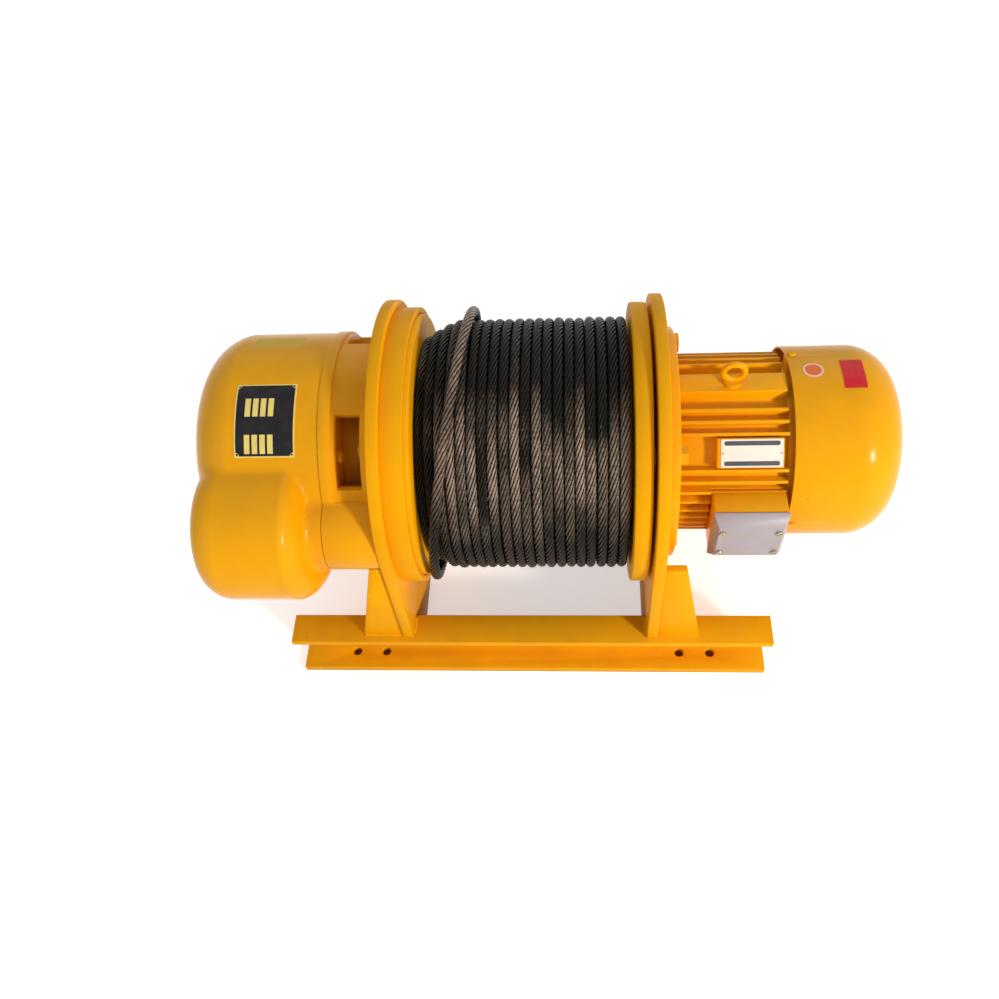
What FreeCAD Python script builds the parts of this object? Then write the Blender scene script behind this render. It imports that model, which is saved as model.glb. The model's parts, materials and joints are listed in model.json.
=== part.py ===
"""Electric winch with one rope drum between a gearbox and a brake motor, on two channel rails.

Millimetres. X runs along the drum from the gearbox to the motor, -Y is the front, +Z is up.
The rails stand on Z = 0. Each named piece goes to parts/NAME.step.
"""
import math
import os

import FreeCAD
import Part

Vec = FreeCAD.Vector

# Main axis and base rails
AXIS_Z = 235.0          # drum axis above the floor
RAIL_LENGTH = 556.0
RAIL_HEIGHT = 77.0
RAIL_WIDTH = 36.0
RAIL_FLANGE = 8.0
RAIL_WEB = 6.0
RAIL_EDGE_Y = 167.0     # outer edge of the flanges from the middle
FOOT_HOLE_R = 5.5
FOOT_OUTER_X = 215.0
FOOT_INNER_X = 178.5
FOOT_Y = 145.0

# Support plates, gussets and guard ring
PLATE_T = 12.0
PLATE_R = 160.5
GUARD_ROOM = 16.0       # from the drum's gear-side flange to the gear-side plate
RIM_GAP = 4.0           # from the drum's motor-side rim to the motor-side plate
GUSSET_T = 8.0
GUSSET_Y = 157.0        # outer face of each gusset
GUSSET_FOOT = 47.0
GUSSET_TOP = 22.0
GEAR_GUSSET_Z = 190.0   # top of the gussets that pass under the gearbox
MOTOR_GUSSET_Z = 222.0
GUARD_R = 152.0
GUARD_WALL = 6.5
GUARD_WIDTH = 23.0

# Drum and rope
DRUM_R = 85.0
DRUM_WALL = 8.0
DRUM_LEFT_X = -105.0    # rope faces of the two flanges
DRUM_RIGHT_X = 115.0
FLANGE_T = 12.0
FLANGE_DISC_T = 10.0
RIM_WIDTH = 17.0
RIM_WALL = 12.0
HUB_R = 46.0
HUB_LENGTH = 18.0
ROPE_D = 11.0
ROPE_BELOW_RIM = 7.4    # crown of the outer layer below the gear-side flange's rim
ROPE_STEP = 24.3        # how much lower the layers left free at the gear side are
ROPE_LOW_TURNS = 3      # turns that step down at the gear side
ROPE_GROOVE = 2.8       # depth between neighbouring turns
TURN_IN = 29.5          # middle of the slanted last turn, inside the gear-side flange
TURN_SLANT = 22.0       # how far it leans to each side
TURN_HIGH = 130.0       # degrees above the front where it is nearest the motor

# Gear train: teeth, modules and the two parallel shafts
MODULE_FAST = 2.0
MODULE_SLOW = 3.0
INPUT_TEETH_COUNT = 14
FIRST_TEETH_COUNT = 46
SECOND_PINION_TEETH_COUNT = 14
SECOND_TEETH_COUNT = 62
THIRD_PINION_TEETH_COUNT = 16
OUTPUT_TEETH_COUNT = 60
ADDENDUM = 0.8          # in modules
DEDENDUM = 1.1
BACKLASH = 0.12         # in modules, taken from each tooth
FACE_FIRST = 14.0
FACE_SECOND = 17.0
FACE_THIRD = 20.0
PINION_EXTRA = 2.0      # each pinion is longer than its gear by this much at both ends

# Shafts
DRIVE_R = 9.0
MOTOR_SHAFT_R = 14.0
SECOND_SHAFT_R = 9.0
COUNTER_R = 12.0
SLEEVE_R = 30.0
SLEEVE_BORE_R = 15.0
COUPLING_R = 22.0
COUPLING_LENGTH = 56.0
COUPLING_BACK = 43.0    # where the two shafts meet, inside the motor-side flange

# Gearbox
CASE_LENGTH = 55.0      # from the support plate to the joint with the cover
COVER_R = 126.0
COVER_SHOULDER = 51.0   # length of the cover's domed end
COVER_KNEE_X = 6.0      # where the end's flat middle turns into its round edge
COVER_KNEE_R = 44.0     # the same, measured in from the cover's side
LOBE_R = 76.3           # lobe of the cover round the countershaft
LOBE_BACK = 7.0         # lobe's end short of the cover's end
LOBE_KNEE_X = 11.0
LOBE_SHOULDER = 40.5
LOBE_TAIL = 23.0        # length of the lobe's round tail
LOBE_RIGHT_GAP = 7.0    # from the lobe's tail to the joint
NECK_LOBE_R = 45.0      # lobe of the case round the countershaft bearing
COUNTER_ANGLE = 4.0     # degrees above the front
SHELL = 8.0
BAND_R = 127.5
BAND_WIDTH = 12.0
CASE_R = 124.0
CASE_SHELL = 12.0
CASE_WALL = 14.0
CASE_FOOT = 12.0        # bolted flange of the case
WINDOW_LOW = 31.0       # degrees above the front
WINDOW_HIGH = 67.0
JOINT_RING_R = 96.0     # bore of the cover's joint ring
JOINT_RING_T = 14.0
COVER_SCREW_PCD_R = 104.0
COVER_SCREW_R = 4.0
CASE_BOLT_PCD_R = 92.0
CASE_SPIGOT_R = 50.0
BRIDGE_T = 10.0
BRIDGE_EDGE = 22.0      # plate left round the bearings and posts
POST_R = 11.0
POST_PCD_R = 81.0
OUTPUT_SETBACK = 23.0   # left face of the output gear from the joint
SECOND_SETBACK = 52.0   # left face of the second gear from that of the output gear
BRIDGE_SETBACK = 13.0   # left face of the bridge from that of the second gear
FIRST_SETBACK = 20.0    # left face of the first gear from that of the bridge
COVER_SETBACK = 40.0    # end of the cover from the left face of the first gear
COVER_BEARING_SEAT = 10.0   # bearing seats from the end of the cover
SECOND_BEARING_SEAT = 14.0
COVER_BEARING_T = 12.0
COVER_BOSS = 7.0        # wall round the bearing seats
BRIDGE_SCREW_DEPTH = 14.0
COVER_SCREW_HEAD = 5.5

# Motor
MOTOR_FLANGE_T = 12.0
MOTOR_BOLT_GAP = 11.5   # bolt circle outside the fins
MOTOR_FLANGE_EDGE = 17.5    # flange and spigot beside the bolt circle
NOSE_R = 36.0
NOSE_BORE_R = 24.0
NOSE_LENGTH = 32.0
FRAME_R = 84.0
FRAME_WALL = 6.0
FRAME_LENGTH = 110.0
FIN_HEIGHT = 12.0
FIN_T = 3.4
FIN_COUNT = 48
STATOR_DEPTH = 27.0     # radial depth of the stator core
STATOR_LENGTH = 70.0
WINDING_LENGTH = 12.0
AIR_GAP = 0.8
SHIELD_T = 12.0
FAN_COVER_GAP = 5.5     # between the fins and the fan cover's outside
COVER_FAN_WALL = 2.0
FAN_COVER_LAP = 8.0     # how far the fan cover reaches over the rear shield
FAN_COVER_LENGTH = 124.4
FAN_COVER_DOME = 64.3   # length of its domed end
FAN_TIP_GAP = 13.0      # between the fan and its cover
FAN_SETBACK = 68.0      # fan from the fan cover's open edge
FAN_WIDTH = 24.0
BLADE_COUNT = 8
BRAKE_R = 62.0
BRAKE_DISC_R = 46.0
BRAKE_DISC_T = 8.0
ARMATURE_T = 7.0
ARMATURE_GAP = 0.8      # between armature and coil with the brake on
COIL_LENGTH = 26.0
BRAKE_POST_PCD_R = 55.0
BRAKE_POST_R = 4.0
SPRING_PCD_R = 32.0
SPRING_R = 3.5
SPRING_DEPTH = 14.0
BOX_SETBACK = 73.0      # middle of the terminal box from the motor flange
BOX_WIDTH = 74.0
BOX_HEIGHT = 72.0
BOX_Z = 229.0
BOX_DEPTH = 29.5
BOX_SEAT = 0.5          # seat of the box in front of the frame's root
BOX_WALL = 4.0
BOX_FLOOR = 8.0
CABLE_R = 10.0
LID_T = 13.0
LID_BASE_T = 3.0
LID_LIP = 1.0
LID_BEVEL_X = 5.0
LID_BEVEL_Z = 11.0
EYE_SETBACK = 56.0      # eye bolt from the motor flange
EYE_R = 10.5
EYE_WIRE_R = 3.2
PAD_RISE = 13.0         # flat pad on the frame below the eye bolt
PAD_WIDTH = 24.0
PLATE_PAD_RISE = 14.0   # flat pad that takes the rating plate
PLATE_PAD_WIDTH = 30.0
TERMINAL_WIDTH = 36.0
TERMINAL_HEIGHT = 24.0
TERMINAL_PITCH = 12.0
TERMINAL_LENGTH = 14.0
LID_SCREW_SPAN = 36.0   # between the upper and lower lid screws
LID_SCREW_GRIP = 6.0

# Fasteners and clearances
BOLT_R = 6.0
BOLT_HEX_R = 10.9
BOLT_HEAD_T = 8.0
NUT_T = 6.5
FAN_SCREW_R = 2.5
FAN_SCREW_LENGTH = 14.0
FAN_SCREW_HEAD = 2.5
HOLE_GAP = 0.3          # round bolts in their holes
RUN_FIT = 0.04          # bearings on turning shafts
RUN_GAP = 0.8           # beside turning discs
SPIGOT_FIT = 0.05
REST_GAP = 0.3          # between brake pieces at rest

GEAR_PLATE_X = DRUM_LEFT_X - FLANGE_T - GUARD_ROOM     # inner faces of the two plates
MOTOR_PLATE_X = DRUM_RIGHT_X + RIM_WIDTH + RIM_GAP
GEAR_PLATE_OUT = GEAR_PLATE_X - PLATE_T
MOTOR_PLATE_OUT = MOTOR_PLATE_X + PLATE_T
FRAME_X0 = MOTOR_PLATE_OUT + MOTOR_FLANGE_T
FRAME_X1 = FRAME_X0 + FRAME_LENGTH
SHIELD_X1 = FRAME_X1 + SHIELD_T
JOINT_X = GEAR_PLATE_OUT - CASE_LENGTH
OUTPUT_X = JOINT_X - OUTPUT_SETBACK
SECOND_X = OUTPUT_X - SECOND_SETBACK
BRIDGE_X = SECOND_X - BRIDGE_SETBACK
FIRST_X = BRIDGE_X - FIRST_SETBACK
COVER_END_X = FIRST_X - COVER_SETBACK
LOBE_LEFT_X = COVER_END_X + LOBE_BACK
LOBE_RIGHT_X = JOINT_X - LOBE_RIGHT_GAP
COVER_BEARING_X = COVER_END_X + COVER_BEARING_SEAT
SECOND_BEARING_X = COVER_END_X + SECOND_BEARING_SEAT
COUPLING_X = DRUM_RIGHT_X - COUPLING_BACK
TURN_X = DRUM_LEFT_X + TURN_IN
WALL_X1 = JOINT_X + CASE_WALL
FOOT_X0 = GEAR_PLATE_OUT - CASE_FOOT
GEAR_RIM_R = GUARD_R - GUARD_WALL - RUN_GAP
ROPE_LAYERS_R = GEAR_RIM_R - ROPE_BELOW_RIM
ROPE_LOW_R = ROPE_LAYERS_R - ROPE_STEP
FRAME_BORE_R = FRAME_R - FRAME_WALL
FIN_R = FRAME_R + FIN_HEIGHT
PAD_TOP_R = FRAME_R + PAD_RISE
PLATE_PAD_R = FRAME_R + PLATE_PAD_RISE
COVER_FAN_R = FIN_R + FAN_COVER_GAP
FAN_R = COVER_FAN_R - COVER_FAN_WALL - FAN_TIP_GAP
MOTOR_BOLT_PCD_R = FIN_R + MOTOR_BOLT_GAP
MOTOR_FLANGE_R = MOTOR_BOLT_PCD_R + MOTOR_FLANGE_EDGE
MOTOR_SPIGOT_R = MOTOR_BOLT_PCD_R - MOTOR_FLANGE_EDGE
STATOR_BORE_R = FRAME_BORE_R - STATOR_DEPTH
COVER_FAN_X = SHIELD_X1 - FAN_COVER_LAP
COVER_FAN_END_X = COVER_FAN_X + FAN_COVER_LENGTH
FAN_X = COVER_FAN_X + FAN_SETBACK
BOX_X = FRAME_X0 + BOX_SETBACK
EYE_X = FRAME_X0 + EYE_SETBACK
BOX_BACK_Y = -FRAME_R - BOX_SEAT
BOX_FRONT_Y = BOX_BACK_Y - BOX_DEPTH

# Shaft places in the cross plane, measured from the main axis
ARM_INPUT = MODULE_FAST * (INPUT_TEETH_COUNT + FIRST_TEETH_COUNT) / 2.0
ARM_SECOND = MODULE_FAST * (SECOND_PINION_TEETH_COUNT + SECOND_TEETH_COUNT) / 2.0
ARM_OUTPUT = MODULE_SLOW * (THIRD_PINION_TEETH_COUNT + OUTPUT_TEETH_COUNT) / 2.0
ARM_COS = (ARM_INPUT ** 2 + ARM_OUTPUT ** 2 - ARM_SECOND ** 2) / (2.0 * ARM_INPUT * ARM_OUTPUT)
ARM_ANGLE = math.acos(ARM_COS)
MAIN = (0.0, 0.0)

PARTS = {}


def spot(radius, degrees):
    """Place at an angle that counts from the front upwards."""
    turn = math.radians(degrees)
    return (-radius * math.cos(turn), radius * math.sin(turn))


COUNTER = spot(ARM_OUTPUT, COUNTER_ANGLE)
SECOND = spot(ARM_INPUT, COUNTER_ANGLE + math.degrees(ARM_ANGLE))


def rod(radius, x0, x1, place=MAIN):
    """Cylinder along X round a shaft place."""
    base = Vec(x0, place[0], AXIS_Z + place[1])
    return Part.makeCylinder(radius, x1 - x0, base, Vec(1, 0, 0))


def tube(outer, inner, x0, x1, place=MAIN):
    return rod(outer, x0, x1, place).cut(rod(inner, x0 - 1.0, x1 + 1.0, place))


def box(x0, x1, y0, y1, z0, z1):
    return Part.makeBox(x1 - x0, y1 - y0, z1 - z0, Vec(x0, y0, z0))


def fuse(shapes):
    """One solid from pieces that touch or overlap."""
    first = shapes[0]
    if len(shapes) == 1:
        return first
    return first.fuse(shapes[1:]).removeSplitter()


def group(shapes):
    return Part.makeCompound(shapes)


def turned(edges, place=MAIN):
    """Solid of revolution round a shaft place; each edge is two or three (x, r) points."""
    made = []
    for points in edges:
        spots = [Vec(x, place[0], AXIS_Z + place[1] + r) for x, r in points]
        if len(spots) == 3:
            made.append(Part.Arc(*spots).toShape())
        else:
            made.append(Part.makeLine(*spots))
    face = Part.Face(Part.Wire(made))
    return face.revolve(Vec(0, place[0], AXIS_Z + place[1]), Vec(1, 0, 0), 360)


def turn_up(shape, degrees):
    """Turns a piece made at the front by an angle upwards round the main axis."""
    moved = shape.copy()
    moved.rotate(Vec(0, 0, AXIS_Z), Vec(1, 0, 0), -degrees)
    return moved


def mirror_y(shape):
    return shape.mirror(Vec(0, 0, 0), Vec(0, 1, 0))


def prism(points, x0, x1):
    """Polygon given in the cross plane, drawn along X."""
    spots = [Vec(x0, y, AXIS_Z + z) for y, z in points]
    face = Part.Face(Part.makePolygon(spots + spots[:1]))
    return face.extrude(Vec(x1 - x0, 0, 0))


def hexagon(radius, x0, x1, place):
    corners = []
    for step in range(6):
        turn = math.radians(60.0 * step)
        corners.append((place[0] + radius * math.cos(turn), place[1] + radius * math.sin(turn)))
    return prism(corners, x0, x1)


def involute(base, radius):
    """Angle of the involute at a radius, counted from where it leaves the base circle."""
    if radius <= base:
        return 0.0
    slope = math.acos(base / radius)
    return math.tan(slope) - slope


def tooth_outline(teeth, module, tooth_at):
    """Points round a spur gear with straight flank pieces inside the true involute."""
    pitch = module * teeth / 2.0
    base = pitch * math.cos(math.radians(20.0))
    tip = pitch + ADDENDUM * module
    root = pitch - DEDENDUM * module
    start = max(base, root)
    half = math.pi / (2.0 * teeth) - BACKLASH * module / (2.0 * pitch)
    flank = []
    for part in (0.0, 0.5, 1.0):
        radius = start + (tip - start) * part
        flank.append((radius, half + involute(base, pitch) - involute(base, radius)))
    if root < base:
        flank.insert(0, (root, flank[0][1]))
    points = []
    for tooth in range(teeth):
        middle = tooth_at + 2.0 * math.pi * tooth / teeth
        for radius, width in flank:
            points.append((radius * math.cos(middle - width), radius * math.sin(middle - width)))
        for radius, width in reversed(flank):
            points.append((radius * math.cos(middle + width), radius * math.sin(middle + width)))
    return points


def gear(teeth, module, tooth_at, x0, x1, place, bore):
    points = [(place[0] + y, place[1] + z) for y, z in tooth_outline(teeth, module, tooth_at)]
    return prism(points, x0, x1).cut(rod(bore, x0 - 1.0, x1 + 1.0, place))


def bolt(place, seat_x, far_x, head_side):
    """Hexagon bolt with its nut: the head sits on seat_x and the nut on far_x."""
    head = hexagon(BOLT_HEX_R, *sorted((seat_x, seat_x + head_side * BOLT_HEAD_T)), place)
    nut = hexagon(BOLT_HEX_R, *sorted((far_x, far_x - head_side * NUT_T)), place)
    ends = sorted((seat_x, far_x - head_side * (NUT_T + 2.0)))
    return fuse([rod(BOLT_R, ends[0], ends[1], place), head, nut])


def drill(shape, radius, x0, x1, places):
    """Holes along X at a list of places."""
    return shape.cut([rod(radius, x0, x1, place) for place in places])


def build_rails():
    """Two channels with the open sides outwards and four foot holes each."""
    outer = -RAIL_EDGE_Y
    inner = outer + RAIL_WIDTH
    half = RAIL_LENGTH / 2.0
    rail = fuse([
        box(-half, half, inner - RAIL_WEB, inner, 0.0, RAIL_HEIGHT),
        box(-half, half, outer, inner, 0.0, RAIL_FLANGE),
        box(-half, half, outer, inner, RAIL_HEIGHT - RAIL_FLANGE, RAIL_HEIGHT),
    ])
    for x in (-FOOT_OUTER_X, -FOOT_INNER_X, FOOT_INNER_X, FOOT_OUTER_X):
        start = Vec(x, -FOOT_Y, -RAIL_FLANGE / 2.0)
        rail = rail.cut(Part.makeCylinder(FOOT_HOLE_R, 2.0 * RAIL_FLANGE, start))
    PARTS["front_rail"] = rail
    PARTS["rear_rail"] = mirror_y(rail)


def support_plate(x0, x1):
    """Plate with a round top that stands on both rails."""
    leg = box(x0, x1, -PLATE_R, PLATE_R, RAIL_HEIGHT, AXIS_Z)
    return fuse([rod(PLATE_R, x0, x1), leg])


def gusset_pair(x_plate, side, top_z):
    y0 = -GUSSET_Y
    outline = [
        Vec(x_plate, y0, RAIL_HEIGHT),
        Vec(x_plate + side * GUSSET_FOOT, y0, RAIL_HEIGHT),
        Vec(x_plate + side * GUSSET_TOP, y0, top_z),
        Vec(x_plate, y0, top_z),
    ]
    face = Part.Face(Part.makePolygon(outline + outline[:1]))
    front = face.extrude(Vec(0, GUSSET_T, 0))
    return group([front, mirror_y(front)])


CASE_BOLT_ANGLES = (50.0, 90.0, 130.0, 230.0, 270.0, 310.0)
MOTOR_BOLT_ANGLES = (45.0, 135.0, 225.0, 315.0)
COVER_SCREW_ANGLES = (46.0, 110.0, 160.0, 205.0, 250.0, 305.0)
CASE_BOLT_SPOTS = [spot(CASE_BOLT_PCD_R, a) for a in CASE_BOLT_ANGLES]
MOTOR_BOLT_SPOTS = [spot(MOTOR_BOLT_PCD_R, a) for a in MOTOR_BOLT_ANGLES]
COVER_SCREW_SPOTS = [spot(COVER_SCREW_PCD_R, a) for a in COVER_SCREW_ANGLES]
POST_ANGLES = (150.0, 230.0, 305.0)
POST_SPOTS = [spot(POST_PCD_R, a) for a in POST_ANGLES]


def build_frame():
    """Support plates, gussets and the guard ring round the drum's gear-side flange."""
    plate = support_plate(GEAR_PLATE_OUT, GEAR_PLATE_X)
    plate = plate.cut(rod(CASE_SPIGOT_R, GEAR_PLATE_OUT - 1.0, GEAR_PLATE_X + 1.0))
    plate = drill(plate, BOLT_R + HOLE_GAP, GEAR_PLATE_OUT - 1.0, GEAR_PLATE_X + 1.0, CASE_BOLT_SPOTS)
    PARTS["gear_side_plate"] = plate
    plate = support_plate(MOTOR_PLATE_X, MOTOR_PLATE_OUT)
    plate = plate.cut(rod(MOTOR_SPIGOT_R, MOTOR_PLATE_X - 1.0, MOTOR_PLATE_OUT + 1.0))
    plate = drill(plate, BOLT_R + HOLE_GAP, MOTOR_PLATE_X - 1.0, MOTOR_PLATE_OUT + 1.0, MOTOR_BOLT_SPOTS)
    PARTS["motor_side_plate"] = plate
    PARTS["gear_side_gussets"] = gusset_pair(GEAR_PLATE_OUT, -1.0, GEAR_GUSSET_Z)
    PARTS["motor_side_gussets"] = gusset_pair(MOTOR_PLATE_OUT, 1.0, MOTOR_GUSSET_Z)
    guard_x1 = GEAR_PLATE_X + GUARD_WIDTH
    PARTS["drum_guard_ring"] = tube(GUARD_R, GUARD_R - GUARD_WALL, GEAR_PLATE_X, guard_x1)


def rope_turn():
    """Last turn of the rope, a slanted ring that crosses over the outer layer towards the gear side."""
    slant = math.atan(TURN_SLANT / ROPE_LAYERS_R)
    across = spot(math.sin(slant), TURN_HIGH)
    normal = Vec(math.cos(slant), -across[0], -across[1])
    ring_r = (ROPE_LAYERS_R + ROPE_D / 2.0 + REST_GAP) / math.cos(slant)
    ring = Part.makeTorus(ring_r, ROPE_D / 2.0, Vec(TURN_X, 0, AXIS_Z), normal)
    reach = 2.0 * ring_r
    hidden = [MAIN] + [spot(reach, TURN_HIGH + past) for past in (30.0, 80.0, 130.0)]
    return ring.cut(prism(hidden, DRUM_LEFT_X, DRUM_RIGHT_X))


def rope_pack(x0, x1):
    """Wound rope as one turned body: turns side by side that step down at the gear side."""
    count = round((x1 - x0) / ROPE_D)
    pitch = (x1 - x0) / count
    crowns = []
    for turn in range(count):
        below = max(0, ROPE_LOW_TURNS - turn) / ROPE_LOW_TURNS
        crowns.append(ROPE_LAYERS_R - ROPE_STEP * below)
    points = [(x0, DRUM_R)]
    for turn, crown in enumerate(crowns):
        left = x0 + pitch * turn
        before = crowns[max(turn - 1, 0)]
        points.append((left, min(before, crown) - ROPE_GROOVE))
        points.append((left + 0.27 * pitch, crown))
        points.append((left + 0.73 * pitch, crown))
    points.append((x1, crowns[-1] - ROPE_GROOVE))
    points.append((x1, DRUM_R))
    return turned(list(zip(points, points[1:] + points[:1])))


def build_drum():
    """Rope drum: barrel, two flanges, sleeve, rope and rope anchor."""
    flange_r = GEAR_RIM_R
    left = DRUM_LEFT_X - FLANGE_T
    edge = 2.0
    PARTS["drum_gear_flange"] = turned([
        ((left, SLEEVE_R), (left, flange_r)),
        ((left, flange_r), (DRUM_LEFT_X - edge, flange_r)),
        ((DRUM_LEFT_X - edge, flange_r), (DRUM_LEFT_X, flange_r - edge)),
        ((DRUM_LEFT_X, flange_r - edge), (DRUM_LEFT_X, HUB_R)),
        ((DRUM_LEFT_X, HUB_R), (DRUM_LEFT_X + HUB_LENGTH, HUB_R)),
        ((DRUM_LEFT_X + HUB_LENGTH, HUB_R), (DRUM_LEFT_X + HUB_LENGTH, SLEEVE_R)),
        ((DRUM_LEFT_X + HUB_LENGTH, SLEEVE_R), (left, SLEEVE_R)),
    ])
    seat = bearing_outer(NOSE_R) + RUN_FIT
    hub = seat + 12.0
    disc = DRUM_RIGHT_X + FLANGE_DISC_T
    rim = DRUM_RIGHT_X + RIM_WIDTH
    hub_x = MOTOR_PLATE_X - NOSE_LENGTH - 2.0
    bend = 3.0
    PARTS["drum_motor_flange"] = turned([
        ((hub_x, seat), (hub_x, hub)),
        ((hub_x, hub), (DRUM_RIGHT_X, hub)),
        ((DRUM_RIGHT_X, hub), (DRUM_RIGHT_X, GUARD_R - 1.0)),
        ((DRUM_RIGHT_X, GUARD_R - 1.0), (DRUM_RIGHT_X + 1.0, GUARD_R)),
        ((DRUM_RIGHT_X + 1.0, GUARD_R), (rim - bend, GUARD_R)),
        ((rim - bend, GUARD_R), (rim - 0.3 * bend, GUARD_R - 0.3 * bend), (rim, GUARD_R - bend)),
        ((rim, GUARD_R - bend), (rim, GUARD_R - RIM_WALL)),
        ((rim, GUARD_R - RIM_WALL), (disc, GUARD_R - RIM_WALL)),
        ((disc, GUARD_R - RIM_WALL), (disc, hub)),
        ((disc, hub), (rim, hub)),
        ((rim, hub), (rim, seat)),
        ((rim, seat), (hub_x, seat)),
    ])
    barrel = tube(DRUM_R, DRUM_R - DRUM_WALL, DRUM_LEFT_X, DRUM_RIGHT_X)
    anchor_x = DRUM_RIGHT_X - 45.0
    tail_base = Vec(anchor_x, 0, AXIS_Z - DRUM_R)
    tail = Part.makeCylinder(ROPE_D / 2.0, 24.0, tail_base, Vec(0, 0, 1))
    PARTS["drum_barrel"] = barrel.cut(tail)
    PARTS["rope_tail"] = tail.common(rod(DRUM_R, DRUM_LEFT_X, DRUM_RIGHT_X))
    anchor = box(anchor_x - 14.0, anchor_x + 14.0, -12.0, 12.0, AXIS_Z - DRUM_R, AXIS_Z - DRUM_R + 22.0)
    PARTS["rope_anchor"] = anchor.common(rod(DRUM_R - DRUM_WALL, DRUM_LEFT_X, DRUM_RIGHT_X)).cut(tail)
    gap = 0.5
    x0 = DRUM_LEFT_X + gap
    x1 = DRUM_RIGHT_X - gap
    PARTS["rope_pack"] = rope_pack(x0, x1)
    PARTS["rope_last_turn"] = rope_turn()
    sleeve_x1 = DRUM_LEFT_X + HUB_LENGTH
    PARTS["output_sleeve"] = tube(SLEEVE_R, SLEEVE_BORE_R, OUTPUT_X - 2.0, sleeve_x1)


def bearing_outer(shaft_r):
    """Outer radius of the bearing that goes on a shaft."""
    return shaft_r * 1.15 + 8.0


def bearing(shaft_r, x0, x1, place=MAIN):
    return tube(bearing_outer(shaft_r), shaft_r + RUN_FIT, x0, x1, place)


def domed_end(end, radius, inset):
    """Edges of a domed end from the middle to its shoulder; inset is the wall for the inside."""
    knee = (end + COVER_KNEE_X, radius - COVER_KNEE_R + inset / 3.0)
    shoulder = (end + COVER_SHOULDER - inset / 3.0, radius)
    middle = (end + 0.42 * COVER_SHOULDER - inset / 8.0, radius - 0.348 * COVER_KNEE_R + inset / 8.0)
    tip = (end, 0.1 * radius)
    return [
        ((end, 0.0), tip),
        (tip, (end + 0.23 * COVER_KNEE_X, 0.34 * radius), knee),
        (knee, middle, shoulder),
    ]


def lobe_form(left, right, radius, tail_r):
    """Lobe round the countershaft: domed at the left, a round tail at the right."""
    tip = (left, 0.1 * radius)
    knee = (left + LOBE_KNEE_X, 0.8 * radius)
    shoulder = (left + LOBE_SHOULDER, radius)
    tail = (right - LOBE_TAIL, radius)
    return turned([
        ((left, 0.0), tip),
        (tip, (left + 0.28 * LOBE_KNEE_X, 0.477 * radius), knee),
        (knee, (left + 0.575 * LOBE_SHOULDER, 0.95 * radius), shoulder),
        (shoulder, tail),
        (tail, (right - 0.34 * LOBE_TAIL, 0.88 * radius), (right, tail_r)),
        ((right, tail_r), (right, 0.0)),
        ((right, 0.0), (left, 0.0)),
    ], COUNTER)


def cover_outer():
    """Outside of the cover: a round main part, a lobe in front and a small lobe to the joint."""
    main = domed_end(COVER_END_X, COVER_R, 0.0)
    main += [
        (main[-1][-1], (JOINT_X, COVER_R)),
        ((JOINT_X, COVER_R), (JOINT_X, 0.0)),
        ((JOINT_X, 0.0), (COVER_END_X, 0.0)),
    ]
    lobe = lobe_form(LOBE_LEFT_X, LOBE_RIGHT_X, LOBE_R, NECK_LOBE_R - 2.0)
    return fuse([turned(main), lobe, rod(NECK_LOBE_R, LOBE_RIGHT_X - 10.0, JOINT_X, COUNTER)])


def cover_inner():
    """Hollow of the cover, one wall inside the outer shape."""
    end = COVER_END_X + SHELL
    room_r = COVER_R - SHELL
    ring_x = JOINT_X - JOINT_RING_T
    main = domed_end(end, room_r, SHELL)
    main += [
        (main[-1][-1], (ring_x, room_r)),
        ((ring_x, room_r), (ring_x, JOINT_RING_R)),
        ((ring_x, JOINT_RING_R), (JOINT_X, JOINT_RING_R)),
        ((JOINT_X, JOINT_RING_R), (JOINT_X, 0.0)),
        ((JOINT_X, 0.0), (end, 0.0)),
    ]
    right = LOBE_RIGHT_X - SHELL / 2.0
    lobe = lobe_form(LOBE_LEFT_X + SHELL, right, LOBE_R - SHELL, NECK_LOBE_R - SHELL)
    return [turned(main), lobe, rod(NECK_LOBE_R - SHELL, right - 8.0, JOINT_X, COUNTER)]


def build_cover():
    """Cover with two bearing bosses and three posts for the bridge."""
    outer = cover_outer()
    shell = outer.cut(cover_inner())
    boss_x = COVER_BEARING_X + COVER_BEARING_T
    second_x = SECOND_BEARING_X + COVER_BEARING_T
    inside = [
        rod(bearing_outer(DRIVE_R) + COVER_BOSS, COVER_END_X, boss_x),
        rod(bearing_outer(SECOND_SHAFT_R) + COVER_BOSS, COVER_END_X, second_x, SECOND),
    ]
    inside += [rod(POST_R, COVER_END_X, BRIDGE_X, place) for place in POST_SPOTS]
    cover = fuse([shell] + [piece.common(outer) for piece in inside])
    cover = cover.cut([
        rod(bearing_outer(DRIVE_R), COVER_BEARING_X, boss_x + 1.0),
        rod(DRIVE_R + 2.0, COVER_BEARING_X - 6.0, COVER_BEARING_X + 1.0),
        rod(bearing_outer(SECOND_SHAFT_R), SECOND_BEARING_X, second_x + 1.0, SECOND),
        rod(SECOND_SHAFT_R + 2.0, SECOND_BEARING_X - 5.0, SECOND_BEARING_X + 1.0, SECOND),
    ])
    cover = drill(cover, COVER_SCREW_R, BRIDGE_X - BRIDGE_SCREW_DEPTH - 2.0, BRIDGE_X + 1.0, POST_SPOTS)
    cover = drill(cover, COVER_SCREW_R, JOINT_X - JOINT_RING_T + 2.0, JOINT_X + 1.0, COVER_SCREW_SPOTS)
    PARTS["gear_cover"] = cover


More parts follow.
